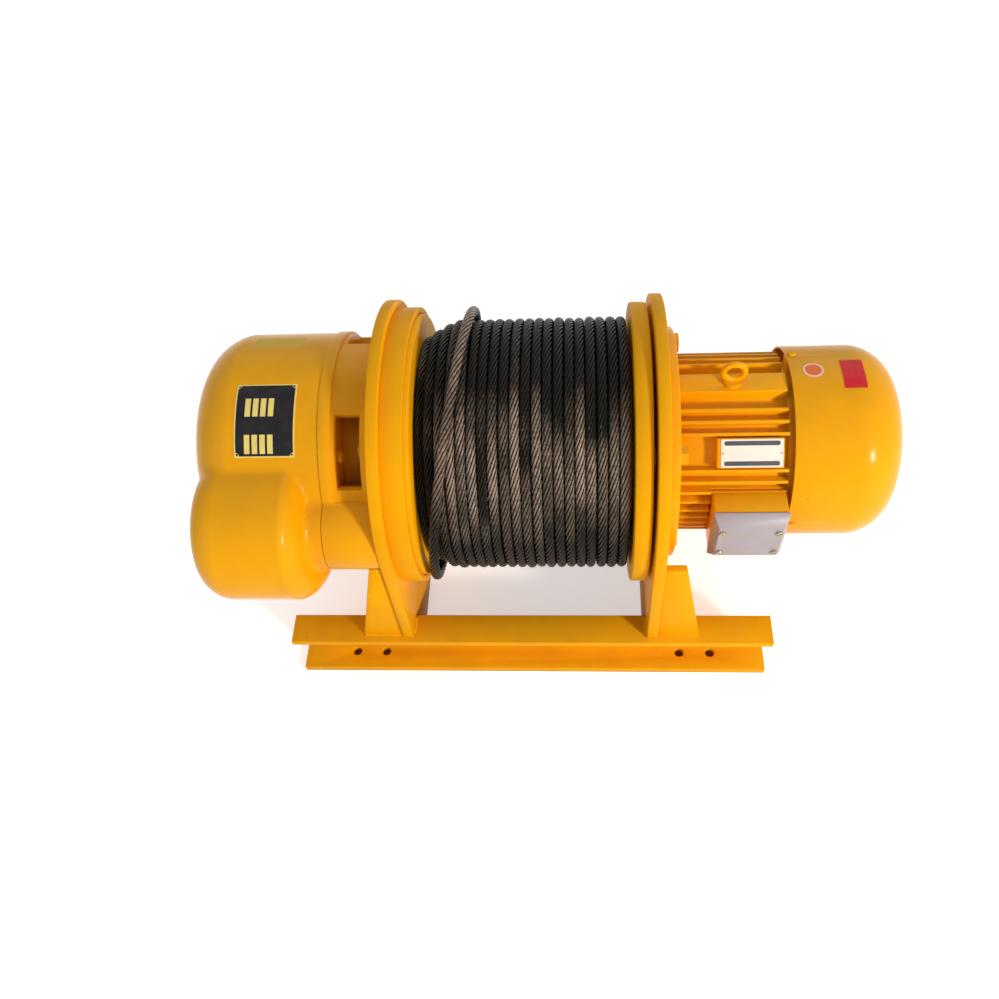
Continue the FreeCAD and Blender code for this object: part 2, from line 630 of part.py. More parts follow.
def build_case():
    """Case between joint and support plate, with two windows and the bearing seats."""
    band = rod(BAND_R, JOINT_X, JOINT_X + BAND_WIDTH)
    body = rod(CASE_R, JOINT_X, GEAR_PLATE_OUT)
    lobe = rod(NECK_LOBE_R, JOINT_X, GEAR_PLATE_OUT, COUNTER)
    spigot = rod(CASE_SPIGOT_R - SPIGOT_FIT, GEAR_PLATE_OUT - 1.0, GEAR_PLATE_OUT + PLATE_T / 2.0)
    case = fuse([band, body, lobe, spigot])
    room = CASE_R - CASE_SHELL
    case = case.cut([rod(room, WALL_X1, FOOT_X0), rod(NECK_LOBE_R - SHELL, WALL_X1, FOOT_X0, COUNTER)])
    reach = CASE_R + 20.0
    for low, high in ((WINDOW_LOW, WINDOW_HIGH), (180.0 - WINDOW_HIGH, 180.0 - WINDOW_LOW)):
        wedge = prism([MAIN, spot(reach, low), spot(reach, high)], WALL_X1 + 2.0, FOOT_X0 - 1.0)
        case = case.cut(wedge.cut(rod(room - 2.0, WALL_X1, FOOT_X0)))
    seat = bearing_outer(SLEEVE_R)
    case = case.cut([
        rod(seat, JOINT_X - 1.0, WALL_X1 + 1.0),
        rod(seat, FOOT_X0 - 1.0, GEAR_PLATE_OUT),
        rod(SLEEVE_R + 3.0, GEAR_PLATE_OUT - 1.0, GEAR_PLATE_OUT + PLATE_T),
        rod(bearing_outer(COUNTER_R), JOINT_X - 1.0, WALL_X1 - 2.0, COUNTER),
    ])
    case = drill(case, COVER_SCREW_R + HOLE_GAP, JOINT_X - 1.0, WALL_X1 + 1.0, COVER_SCREW_SPOTS)
    case = drill(case, BOLT_R + HOLE_GAP, FOOT_X0 - 1.0, GEAR_PLATE_OUT + 1.0, CASE_BOLT_SPOTS)
    PARTS["gear_case"] = case
    PARTS["gear_case_bolts"] = group([bolt(p, FOOT_X0, GEAR_PLATE_X, -1.0) for p in CASE_BOLT_SPOTS])
    screws = []
    for place in COVER_SCREW_SPOTS:
        head = hexagon(COVER_SCREW_R * 1.6, WALL_X1, WALL_X1 + COVER_SCREW_HEAD, place)
        shank = rod(COVER_SCREW_R, JOINT_X - JOINT_RING_T + 4.0, WALL_X1, place)
        screws.append(fuse([shank, head]))
    PARTS["gear_cover_screws"] = group(screws)


def build_bridge():
    """Plate inside the cover that carries the second shaft and the countershaft."""
    edge = BRIDGE_EDGE
    right, low, left = POST_SPOTS
    outline = [
        (COUNTER[0] - edge, COUNTER[1] + edge), (COUNTER[0] - edge, COUNTER[1] - edge),
        (left[0], left[1] - edge), (low[0] + 0.6 * edge, low[1] - 0.6 * edge),
        (right[0] + 0.6 * edge, right[1] + 0.6 * edge), (SECOND[0], SECOND[1] + 1.6 * edge),
    ]
    x1 = BRIDGE_X + BRIDGE_T
    bridge = prism(outline, BRIDGE_X, x1)
    bridge = bridge.cut([
        rod(DRIVE_R + 5.0, BRIDGE_X - 1.0, x1 + 1.0),
        rod(bearing_outer(SECOND_SHAFT_R), BRIDGE_X - 1.0, x1 + 1.0, SECOND),
        rod(bearing_outer(COUNTER_R), BRIDGE_X - 1.0, x1 + 1.0, COUNTER),
    ])
    hole_r = COVER_SCREW_R + HOLE_GAP
    PARTS["bearing_bridge"] = drill(bridge, hole_r, BRIDGE_X - 1.0, x1 + 1.0, POST_SPOTS)
    screws = []
    for place in POST_SPOTS:
        shank = rod(COVER_SCREW_R, BRIDGE_X - BRIDGE_SCREW_DEPTH, x1, place)
        head = hexagon(COVER_SCREW_R * 1.6, x1, x1 + COVER_SCREW_HEAD, place)
        screws.append(fuse([shank, head]))
    PARTS["bridge_screws"] = group(screws)
    boss_x = COVER_BEARING_X + COVER_BEARING_T
    PARTS["gear_shaft_bearings"] = group([
        bearing(DRIVE_R, COVER_BEARING_X, boss_x),
        bearing(SECOND_SHAFT_R, SECOND_BEARING_X, SECOND_BEARING_X + COVER_BEARING_T, SECOND),
        bearing(SECOND_SHAFT_R, BRIDGE_X, x1, SECOND),
        bearing(COUNTER_R, BRIDGE_X, x1, COUNTER),
        bearing(COUNTER_R, JOINT_X, WALL_X1 - 2.0, COUNTER),
    ])
    PARTS["sleeve_bearings"] = group([
        bearing(SLEEVE_R, JOINT_X, WALL_X1),
        bearing(SLEEVE_R, FOOT_X0, GEAR_PLATE_OUT),
    ])


def build_gears():
    """Three gear stages between the drive shaft and the drum's sleeve, in mesh at rest."""
    to_counter = math.atan2(COUNTER[1], COUNTER[0])
    counter_to_second = math.atan2(SECOND[1] - COUNTER[1], SECOND[0] - COUNTER[0])
    second_to_main = math.atan2(-SECOND[1], -SECOND[0])

    def space_at(direction, teeth):
        return direction + math.pi + math.pi / teeth

    out_x1 = OUTPUT_X + FACE_THIRD
    PARTS["output_gear"] = gear(
        OUTPUT_TEETH_COUNT, MODULE_SLOW, to_counter, OUTPUT_X, out_x1, MAIN, SLEEVE_R)
    PARTS["third_pinion"] = gear(
        THIRD_PINION_TEETH_COUNT, MODULE_SLOW, space_at(to_counter, THIRD_PINION_TEETH_COUNT),
        OUTPUT_X - PINION_EXTRA, out_x1 + PINION_EXTRA, COUNTER, COUNTER_R)
    second_x1 = SECOND_X + FACE_SECOND
    PARTS["second_gear"] = gear(
        SECOND_TEETH_COUNT, MODULE_FAST, counter_to_second, SECOND_X, second_x1, COUNTER, COUNTER_R)
    PARTS["second_pinion"] = gear(
        SECOND_PINION_TEETH_COUNT, MODULE_FAST, space_at(counter_to_second, SECOND_PINION_TEETH_COUNT),
        SECOND_X - PINION_EXTRA, second_x1 + PINION_EXTRA, SECOND, SECOND_SHAFT_R)
    first_x1 = FIRST_X + FACE_FIRST
    PARTS["first_gear"] = gear(
        FIRST_TEETH_COUNT, MODULE_FAST, second_to_main, FIRST_X, first_x1, SECOND, SECOND_SHAFT_R)
    PARTS["input_pinion"] = gear(
        INPUT_TEETH_COUNT, MODULE_FAST, space_at(second_to_main, INPUT_TEETH_COUNT),
        FIRST_X - PINION_EXTRA, first_x1 + PINION_EXTRA, MAIN, DRIVE_R)
    PARTS["countershaft"] = rod(COUNTER_R, BRIDGE_X, WALL_X1 - 3.0, COUNTER)
    PARTS["second_shaft"] = rod(SECOND_SHAFT_R, SECOND_BEARING_X, second_x1 + PINION_EXTRA + 2.0, SECOND)
    PARTS["drive_shaft"] = rod(DRIVE_R, COVER_BEARING_X, COUPLING_X - 0.5)


def build_motor():
    """Flange motor: shields, finned frame, stator, rotor and shaft."""
    flange = rod(MOTOR_FLANGE_R, MOTOR_PLATE_OUT, FRAME_X0)
    spigot = rod(MOTOR_SPIGOT_R - SPIGOT_FIT, MOTOR_PLATE_X, MOTOR_PLATE_OUT)
    nose = rod(NOSE_R, MOTOR_PLATE_X - NOSE_LENGTH, MOTOR_PLATE_X)
    boss_r = bearing_outer(MOTOR_SHAFT_R) + 7.0
    boss = rod(boss_r, FRAME_X0, FRAME_X0 + 6.0)
    seat_x = FRAME_X0 - 10.0
    shield = fuse([flange, spigot, nose, boss]).cut([
        rod(NOSE_BORE_R, MOTOR_PLATE_X - NOSE_LENGTH - 1.0, seat_x + 1.0),
        rod(bearing_outer(MOTOR_SHAFT_R), seat_x, FRAME_X0 + 7.0),
    ])
    PARTS["motor_end_shield"] = drill(
        shield, BOLT_R + HOLE_GAP, MOTOR_PLATE_OUT - 1.0, FRAME_X0 + 1.0, MOTOR_BOLT_SPOTS)
    PARTS["motor_flange_bolts"] = group([bolt(p, FRAME_X0, MOTOR_PLATE_X, 1.0) for p in MOTOR_BOLT_SPOTS])
    nose_x0 = MOTOR_PLATE_X - NOSE_LENGTH
    PARTS["drum_bearing"] = tube(bearing_outer(NOSE_R), NOSE_R, nose_x0, MOTOR_PLATE_X - 8.0)

    pieces = [rod(FRAME_R, FRAME_X0, FRAME_X1)]
    pitch = 360.0 / FIN_COUNT
    for step in range(FIN_COUNT):
        angle = (step + 0.5) * pitch
        if 78.0 < angle < 102.0 or 34.0 < angle < 56.0:
            continue
        half = FIN_T / 2.0
        fin = box(FRAME_X0, FRAME_X1, -FIN_R, -FRAME_BORE_R - 2.0, AXIS_Z - half, AXIS_Z + half)
        pieces.append(turn_up(fin, angle))
    half = PAD_WIDTH / 2.0
    pad_z0 = AXIS_Z + FRAME_BORE_R + 1.0
    pad = box(FRAME_X0, FRAME_X1, -half, half, pad_z0, AXIS_Z + PAD_TOP_R)
    half = PLATE_PAD_WIDTH / 2.0
    plate_x0 = FRAME_X0 + 38.0
    plate_pad = box(plate_x0, FRAME_X1 - 6.0, -PLATE_PAD_R, -FRAME_BORE_R, AXIS_Z - half, AXIS_Z + half)
    frame = fuse(pieces + [pad, turn_up(plate_pad, 45.0)])
    box_x0 = BOX_X - BOX_WIDTH / 2.0
    box_x1 = BOX_X + BOX_WIDTH / 2.0
    box_z0 = BOX_Z - BOX_HEIGHT / 2.0
    box_z1 = BOX_Z + BOX_HEIGHT / 2.0
    room = box(box_x0 - 1.5, box_x1 + 1.5, BOX_FRONT_Y, BOX_BACK_Y, box_z0 - 1.5, box_z1 + 1.5)
    frame = frame.cut(room)
    box_pad = box(box_x0 + 3.0, box_x1 - 3.0, BOX_BACK_Y, -FRAME_BORE_R + 6.0, box_z0 + 6.0, box_z1 - 6.0)
    frame = frame.fuse(box_pad).removeSplitter()
    eye_hole = Part.makeCylinder(4.0, PAD_TOP_R, Vec(EYE_X, 0, AXIS_Z + FRAME_R), Vec(0, 0, 1))
    PARTS["motor_frame"] = frame.cut([rod(FRAME_BORE_R, FRAME_X0 - 1.0, FRAME_X1 + 1.0), eye_hole])

    eye_z = AXIS_Z + PAD_TOP_R + EYE_R + EYE_WIRE_R + 2.0
    ring = Part.makeTorus(EYE_R, EYE_WIRE_R, Vec(EYE_X, 0, eye_z), Vec(0, 1, 0))
    collar = Part.makeCylinder(9.0, 4.0, Vec(EYE_X, 0, AXIS_Z + PAD_TOP_R), Vec(0, 0, 1))
    shank = Part.makeCylinder(4.0, PAD_TOP_R - FRAME_R, Vec(EYE_X, 0, AXIS_Z + FRAME_R), Vec(0, 0, 1))
    PARTS["eye_bolt"] = fuse([collar, shank, ring])

    middle = (FRAME_X0 + FRAME_X1) / 2.0
    s0 = middle - STATOR_LENGTH / 2.0
    s1 = middle + STATOR_LENGTH / 2.0
    PARTS["stator_core"] = tube(FRAME_BORE_R, STATOR_BORE_R, s0, s1)
    wound = []
    for end_x in (s0 - WINDING_LENGTH, s1):
        wound.append(tube(FRAME_BORE_R - 5.0, STATOR_BORE_R + 3.0, end_x, end_x + WINDING_LENGTH))
    PARTS["stator_windings"] = group(wound)
    rotor_r = STATOR_BORE_R - AIR_GAP
    core = fuse([rod(rotor_r, s0, s1), rod(rotor_r - 4.0, s0 - 7.0, s1 + 7.0)])
    PARTS["rotor_core"] = core.cut(rod(MOTOR_SHAFT_R, s0 - 8.0, s1 + 8.0))
    PARTS["motor_shaft"] = rod(MOTOR_SHAFT_R, COUPLING_X + 0.5, FAN_X + FAN_WIDTH + 3.0)
    c0 = COUPLING_X - COUPLING_LENGTH / 2.0
    coupling = rod(COUPLING_R, c0, c0 + COUPLING_LENGTH)
    PARTS["shaft_coupling"] = coupling.cut([
        rod(DRIVE_R, c0 - 1.0, COUPLING_X), rod(MOTOR_SHAFT_R, COUPLING_X, c0 + COUPLING_LENGTH + 1.0)])

    lugs = []
    for angle in FAN_SCREW_ANGLES:
        lug = box(COVER_FAN_X, SHIELD_X1, -COVER_FAN_R, -FRAME_R + 6.0, AXIS_Z - 8.0, AXIS_Z + 8.0)
        lugs.append(turn_up(lug, angle))
    inside = COVER_FAN_R - COVER_FAN_WALL
    hub = rod(boss_r, FRAME_X1 - 6.0, FRAME_X1)
    rear = fuse([rod(FRAME_R, FRAME_X1, SHIELD_X1), hub] + lugs)
    rear = rear.common(rod(inside, FRAME_X1 - 6.0, SHIELD_X1))
    rear_x0 = FRAME_X1 - 4.0
    rear = rear.cut([
        rod(bearing_outer(MOTOR_SHAFT_R), rear_x0, SHIELD_X1 - 2.0),
        rod(MOTOR_SHAFT_R + 3.0, FRAME_X1 - 7.0, SHIELD_X1 + 1.0),
    ])
    PARTS["rear_end_shield"] = rear.cut([fan_screw_hole(a, FAN_SCREW_R) for a in FAN_SCREW_ANGLES])
    PARTS["motor_bearings"] = group([
        bearing(MOTOR_SHAFT_R, seat_x, FRAME_X0 + 4.0),
        bearing(MOTOR_SHAFT_R, rear_x0, SHIELD_X1 - 2.0),
    ])


FAN_SCREW_ANGLES = (113.0, 233.0, 353.0)
FAN_SCREW_X = COVER_FAN_X + 6.0


def fan_screw_hole(angle, radius):
    """Radial pin through the fan cover at an angle from the front upwards."""
    start = Vec(FAN_SCREW_X, -COVER_FAN_R, AXIS_Z)
    return turn_up(Part.makeCylinder(radius, FAN_SCREW_LENGTH - 1.0, start, Vec(0, 1, 0)), angle)


def build_fan():
    """Cooling fan, its cover and the cover's screws."""
    end = COVER_FAN_END_X

    def dome(radius, x0, tip):
        bend = (tip - FAN_COVER_DOME, radius)
        knee = (tip - 0.186 * FAN_COVER_DOME, 0.67 * radius)
        return turned([
            ((x0, 0.0), (x0, radius)),
            ((x0, radius), bend),
            (bend, (tip - 0.492 * FAN_COVER_DOME, 0.925 * radius), knee),
            (knee, (tip - 0.054 * FAN_COVER_DOME, 0.4 * radius), (tip, 0.12 * radius)),
            ((tip, 0.12 * radius), (tip, 0.0)),
            ((tip, 0.0), (x0, 0.0)),
        ])

    cover = dome(COVER_FAN_R, COVER_FAN_X, end)
    cover = cover.cut(dome(COVER_FAN_R - COVER_FAN_WALL, COVER_FAN_X - 1.0, end - COVER_FAN_WALL))
    slots = []
    for step in range(12):
        slot = box(end - 30.0, end + 1.0, -58.0, -22.0, AXIS_Z - 3.0, AXIS_Z + 3.0)
        slots.append(turn_up(slot, 30.0 * step))
    cover = cover.cut(slots).cut([fan_screw_hole(a, FAN_SCREW_R + HOLE_GAP) for a in FAN_SCREW_ANGLES])
    PARTS["fan_cover"] = cover
    screws = []
    for angle in FAN_SCREW_ANGLES:
        start = Vec(FAN_SCREW_X, -COVER_FAN_R - FAN_SCREW_HEAD, AXIS_Z)
        head = Part.makeCylinder(1.84 * FAN_SCREW_R, FAN_SCREW_HEAD + 0.2, start, Vec(0, 1, 0))
        head = head.cut(rod(COVER_FAN_R, COVER_FAN_X, COVER_FAN_END_X - FAN_COVER_DOME))
        shank = Part.makeCylinder(FAN_SCREW_R, FAN_SCREW_LENGTH, start, Vec(0, 1, 0))
        screws.append(turn_up(fuse([head, shank]), angle))
    PARTS["fan_cover_screws"] = group(screws)
    pieces = [rod(MOTOR_SHAFT_R + 9.0, FAN_X, FAN_X + FAN_WIDTH)]
    for step in range(BLADE_COUNT):
        root = -MOTOR_SHAFT_R - 4.0
        blade = box(FAN_X + 2.0, FAN_X + FAN_WIDTH - 1.0, -FAN_R, root, AXIS_Z - 1.3, AXIS_Z + 1.3)
        pieces.append(turn_up(blade, step * 360.0 / BLADE_COUNT))
    PARTS["cooling_fan"] = fuse(pieces).cut(rod(MOTOR_SHAFT_R, FAN_X - 1.0, FAN_X + FAN_WIDTH + 1.0))


def build_brake():
    """Spring brake behind the rear shield: disc on the shaft, sliding armature, coil with springs."""
    posts = [spot(BRAKE_POST_PCD_R, a) for a in (90.0, 210.0, 330.0)]
    disc_x = SHIELD_X1 + REST_GAP
    PARTS["brake_disc"] = tube(BRAKE_DISC_R, MOTOR_SHAFT_R, disc_x, disc_x + BRAKE_DISC_T)
    arm_x = disc_x + BRAKE_DISC_T + REST_GAP
    armature = tube(BRAKE_R, MOTOR_SHAFT_R + 6.0, arm_x, arm_x + ARMATURE_T)
    arm_end = arm_x + ARMATURE_T + 1.0
    PARTS["brake_armature"] = drill(armature, BRAKE_POST_R + 0.5, arm_x - 1.0, arm_end, posts)
    coil_x = arm_x + ARMATURE_T + ARMATURE_GAP
    springs = [spot(SPRING_PCD_R, a) for a in range(0, 360, 60)]
    coil = tube(BRAKE_R, MOTOR_SHAFT_R + 3.0, coil_x, coil_x + COIL_LENGTH)
    spring_end = coil_x + SPRING_DEPTH
    PARTS["brake_coil"] = drill(coil, SPRING_R, coil_x - 1.0, spring_end, springs)
    PARTS["brake_springs"] = group([rod(SPRING_R, coil_x, spring_end, place) for place in springs])
    PARTS["brake_posts"] = group([rod(BRAKE_POST_R, SHIELD_X1, coil_x, place) for place in posts])


def build_terminal_box():
    """Terminal box on the front of the motor, with lid, screws and terminal block."""
    x0 = BOX_X - BOX_WIDTH / 2.0
    x1 = BOX_X + BOX_WIDTH / 2.0
    z0 = BOX_Z - BOX_HEIGHT / 2.0
    z1 = BOX_Z + BOX_HEIGHT / 2.0
    back = BOX_BACK_Y - BOX_WALL
    room = box(x0 + BOX_WALL, x1 - BOX_WALL, BOX_FRONT_Y - 1.0, back, z0 + BOX_FLOOR, z1 - BOX_WALL)
    body = box(x0, x1, BOX_FRONT_Y, BOX_BACK_Y, z0, z1).cut(room)
    spots = []
    posts = []
    for x in (x0 + BOX_WALL + 5.0, x1 - BOX_WALL - 5.0):
        for z in (BOX_Z - LID_SCREW_SPAN / 2.0, BOX_Z + LID_SCREW_SPAN / 2.0):
            spots.append((x, z))
            posts.append(box(x - 5.5, x + 5.5, BOX_FRONT_Y, BOX_BACK_Y - 1.0, z - 5.0, z + 5.0))
    body = fuse([body] + [post.common(box(x0, x1, BOX_FRONT_Y, BOX_BACK_Y, z0, z1)) for post in posts])
    cable = Part.makeCylinder(CABLE_R, BOX_FLOOR + 2.0, Vec(BOX_X, cable_y(), z0 - 1.0), Vec(0, 0, 1))
    front = BOX_FRONT_Y - LID_T
    reach = LID_T + LID_SCREW_GRIP + 2.0
    holes = [Part.makeCylinder(2.0, reach, Vec(x, front, z), Vec(0, 1, 0)) for x, z in spots]
    PARTS["terminal_box"] = body.cut([cable] + holes)
    base_y = BOX_FRONT_Y - LID_BASE_T
    low = rectangle(x0 - LID_LIP, x1 + LID_LIP, z0 - LID_LIP, z1 + LID_LIP, base_y)
    high = rectangle(x0 + LID_BEVEL_X, x1 - LID_BEVEL_X, z0 + LID_BEVEL_Z, z1 - LID_BEVEL_Z, front)
    top = Part.makeLoft([low, high], True, True)
    lid = fuse([box(x0 - LID_LIP, x1 + LID_LIP, base_y, BOX_FRONT_Y, z0 - LID_LIP, z1 + LID_LIP), top])
    wide = []
    for x, z in spots:
        wide.append(Part.makeCylinder(2.0 + HOLE_GAP, reach, Vec(x, front - 1.0, z), Vec(0, 1, 0)))
    PARTS["terminal_box_lid"] = lid.cut(wide)
    screws = []
    for x, z in spots:
        head = Part.makeCylinder(3.4, 2.4, Vec(x, front - 2.4, z), Vec(0, 1, 0))
        shank = Part.makeCylinder(2.0, LID_T + LID_SCREW_GRIP, Vec(x, front, z), Vec(0, 1, 0))
        screws.append(fuse([head, shank]))
    PARTS["terminal_box_screws"] = group(screws)
    floor_y = BOX_BACK_Y - BOX_WALL
    half = TERMINAL_WIDTH / 2.0
    low_z = BOX_Z - 3.0
    block = [box(BOX_X - half, BOX_X + half, floor_y - 8.0, floor_y, low_z, low_z + TERMINAL_HEIGHT)]
    for x in (BOX_X - TERMINAL_PITCH, BOX_X, BOX_X + TERMINAL_PITCH):
        for z in (low_z + TERMINAL_PITCH / 2.0, low_z + 1.5 * TERMINAL_PITCH):
            base = Vec(x, floor_y - TERMINAL_LENGTH, z)
            block.append(Part.makeCylinder(2.0, TERMINAL_LENGTH, base, Vec(0, 1, 0)))
    PARTS["terminal_block"] = fuse(block)


def cable_y():
    """Middle of the room behind the lid, where the cable comes in from below."""
    return (BOX_FRONT_Y + BOX_BACK_Y - BOX_WALL) / 2.0


def rectangle(x0, x1, z0, z1, y):
    corners = [Vec(x0, y, z0), Vec(x1, y, z0), Vec(x1, y, z1), Vec(x0, y, z1)]
    return Part.makePolygon(corners + corners[:1])


def main():
    os.makedirs("parts", exist_ok=True)
    build_rails()
    build_frame()
    build_drum()
    build_cover()
    build_case()
    build_bridge()
    build_gears()
    build_motor()
    build_fan()
    build_brake()
    build_terminal_box()
    for name, shape in PARTS.items():
        shape.exportStep(os.path.join("parts", name + ".step"))


main()
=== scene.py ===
import json
import math
import random

import bmesh
import bpy
import numpy as np
from mathutils import Matrix, Vector


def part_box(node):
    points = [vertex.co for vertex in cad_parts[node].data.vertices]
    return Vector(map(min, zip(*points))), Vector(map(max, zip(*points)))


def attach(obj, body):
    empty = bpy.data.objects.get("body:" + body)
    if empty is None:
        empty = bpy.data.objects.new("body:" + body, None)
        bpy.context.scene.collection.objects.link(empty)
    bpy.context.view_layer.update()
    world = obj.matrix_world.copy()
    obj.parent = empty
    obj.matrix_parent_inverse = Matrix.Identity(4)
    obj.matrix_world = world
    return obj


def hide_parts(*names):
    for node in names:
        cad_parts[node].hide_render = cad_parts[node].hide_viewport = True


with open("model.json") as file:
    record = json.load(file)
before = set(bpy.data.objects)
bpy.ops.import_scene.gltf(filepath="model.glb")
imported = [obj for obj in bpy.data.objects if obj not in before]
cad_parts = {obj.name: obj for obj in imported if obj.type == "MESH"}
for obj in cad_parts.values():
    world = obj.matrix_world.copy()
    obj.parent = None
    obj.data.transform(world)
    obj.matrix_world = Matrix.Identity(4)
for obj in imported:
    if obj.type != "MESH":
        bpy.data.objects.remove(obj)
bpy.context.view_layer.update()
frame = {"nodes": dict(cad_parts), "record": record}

bl_info = {
    "name": "Rope winch dressing",
    "version": (1, 0, 0),
    "blender": (4, 5, 0),
    "location": "View3D > Sidebar > Winch",
    "description": "Dresses the packed rope winch with its paint, rope, plates and stage",
    "category": "Object",
}

MM = 0.001
AXIS_Z = 0.235                # drum axis above the floor; angles round it count from the front upwards
SAME_SPOT = 2e-6              # corners closer than this are one corner
SHARP = math.radians(60.0)    # edges that turn by more than this are rounded over
FINISHES = {}                 # materials by their short names, filled on first use


def linear(hex_colour):
    """Linear RGBA of an sRGB hex colour."""
    parts = [int(hex_colour[i:i + 2], 16) / 255.0 for i in (1, 3, 5)]
    return tuple(c / 12.92 if c <= 0.04045 else ((c + 0.055) / 1.055) ** 2.4 for c in parts) + (1.0,)


def length_prop(label, words, millimetres):
    """Length for the panel, given in millimetres."""
    return bpy.props.FloatProperty(
        name=label, description=words, default=millimetres * MM, min=0.0, precision=5,
        subtype="DISTANCE", unit="LENGTH")


def colour_prop(label, words, hex_colour):
    """Colour for the panel, given as sRGB hex."""
    return bpy.props.FloatVectorProperty(
        name=label, description=words, default=linear(hex_colour), size=4, min=0.0, max=1.0,
        subtype="COLOR")


class WinchSizes(bpy.types.PropertyGroup):
    """Sizes of the dressing that a user would change."""
    rope_diameter: length_prop("Rope diameter", "Across the crowns of the strands", 11.0)
    rope_lay: length_prop("Rope lay", "Length of one full twist of the strands", 76.0)
    rope_crown: length_prop(
        "Outer layer", "Radius of the outer layer's crown", (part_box("rope_pack")[1].z - AXIS_Z) / MM)
    edge_round: length_prop("Edge round", "Round on sawn and turned steel edges", 0.9)
    cast_round: length_prop("Cast round", "Round on cast edges", 1.6)
    cover_fillet: length_prop("Cover fillet", "Reach of the soft blend between lobe and cover", 6.0)
    weld_leg: length_prop("Weld leg", "Half width of the weld beads", 3.2)
    plate_thickness: length_prop("Plate thickness", "Sheet of the nameplates", 0.7)


class WinchColours(bpy.types.PropertyGroup):
    """Colours that a user would change."""
    enamel: colour_prop("Enamel", "Orange-yellow paint", "#F4AC06")
    enamel_shade: colour_prop("Enamel, thin", "Where the paint is thin", "#DE9A0E")
    # tan on faces that look up: a film of dust, and painted shade that darkens the tops
    dust_and_shade: colour_prop("Dust", "Film of dust on faces that look up", "#B88C2A")
    rope_light: colour_prop("Rope, rubbed", "Rubbed crowns of the strands", "#A39080")
    rope_dark: colour_prop("Rope, greased", "Greased crowns of the strands", "#221F1B")
    # groove colour: old grease between the strands, and painted shade on the sides of each turn
    rope_grease_and_shade: colour_prop("Rope groove", "Old grease between the strands", "#0C0D0A")
    lid: colour_prop("Lid", "Cast lid of the terminal box", "#A6A2AD")
    plate_black: colour_prop("Plate, dark", "Anodised nameplate", "#14141C")
    plate_field: colour_prop("Plate fields", "Bare fields and border of the nameplate", "#F0DC7C")
    label_red: colour_prop("Label", "Bare label on the fan cover", "#CC1C26")


def add_node(tree, kind, inputs=(), **settings):
    """Adds one shader node: a socket given as an input is linked, any other value is set."""
    node = tree.nodes.new(kind)
    for name, value in settings.items():
        setattr(node, name, value)
    for name, value in dict(inputs).items():
        if isinstance(value, bpy.types.NodeSocket):
            tree.links.new(value, node.inputs[name])
        else:
            node.inputs[name].default_value = value
    return node


def new_material(name):
    """Empty material with its node tree, shader and texture coordinates."""
    material = bpy.data.materials.new(name)
    material.use_nodes = True
    tree = material.node_tree
    tree.nodes.clear()
    shader = add_node(tree, "ShaderNodeBsdfPrincipled")
    add_node(tree, "ShaderNodeOutputMaterial", {"Surface": shader.outputs["BSDF"]})
    place = add_node(tree, "ShaderNodeTexCoord").outputs["Object"]
    return material, tree, shader, place


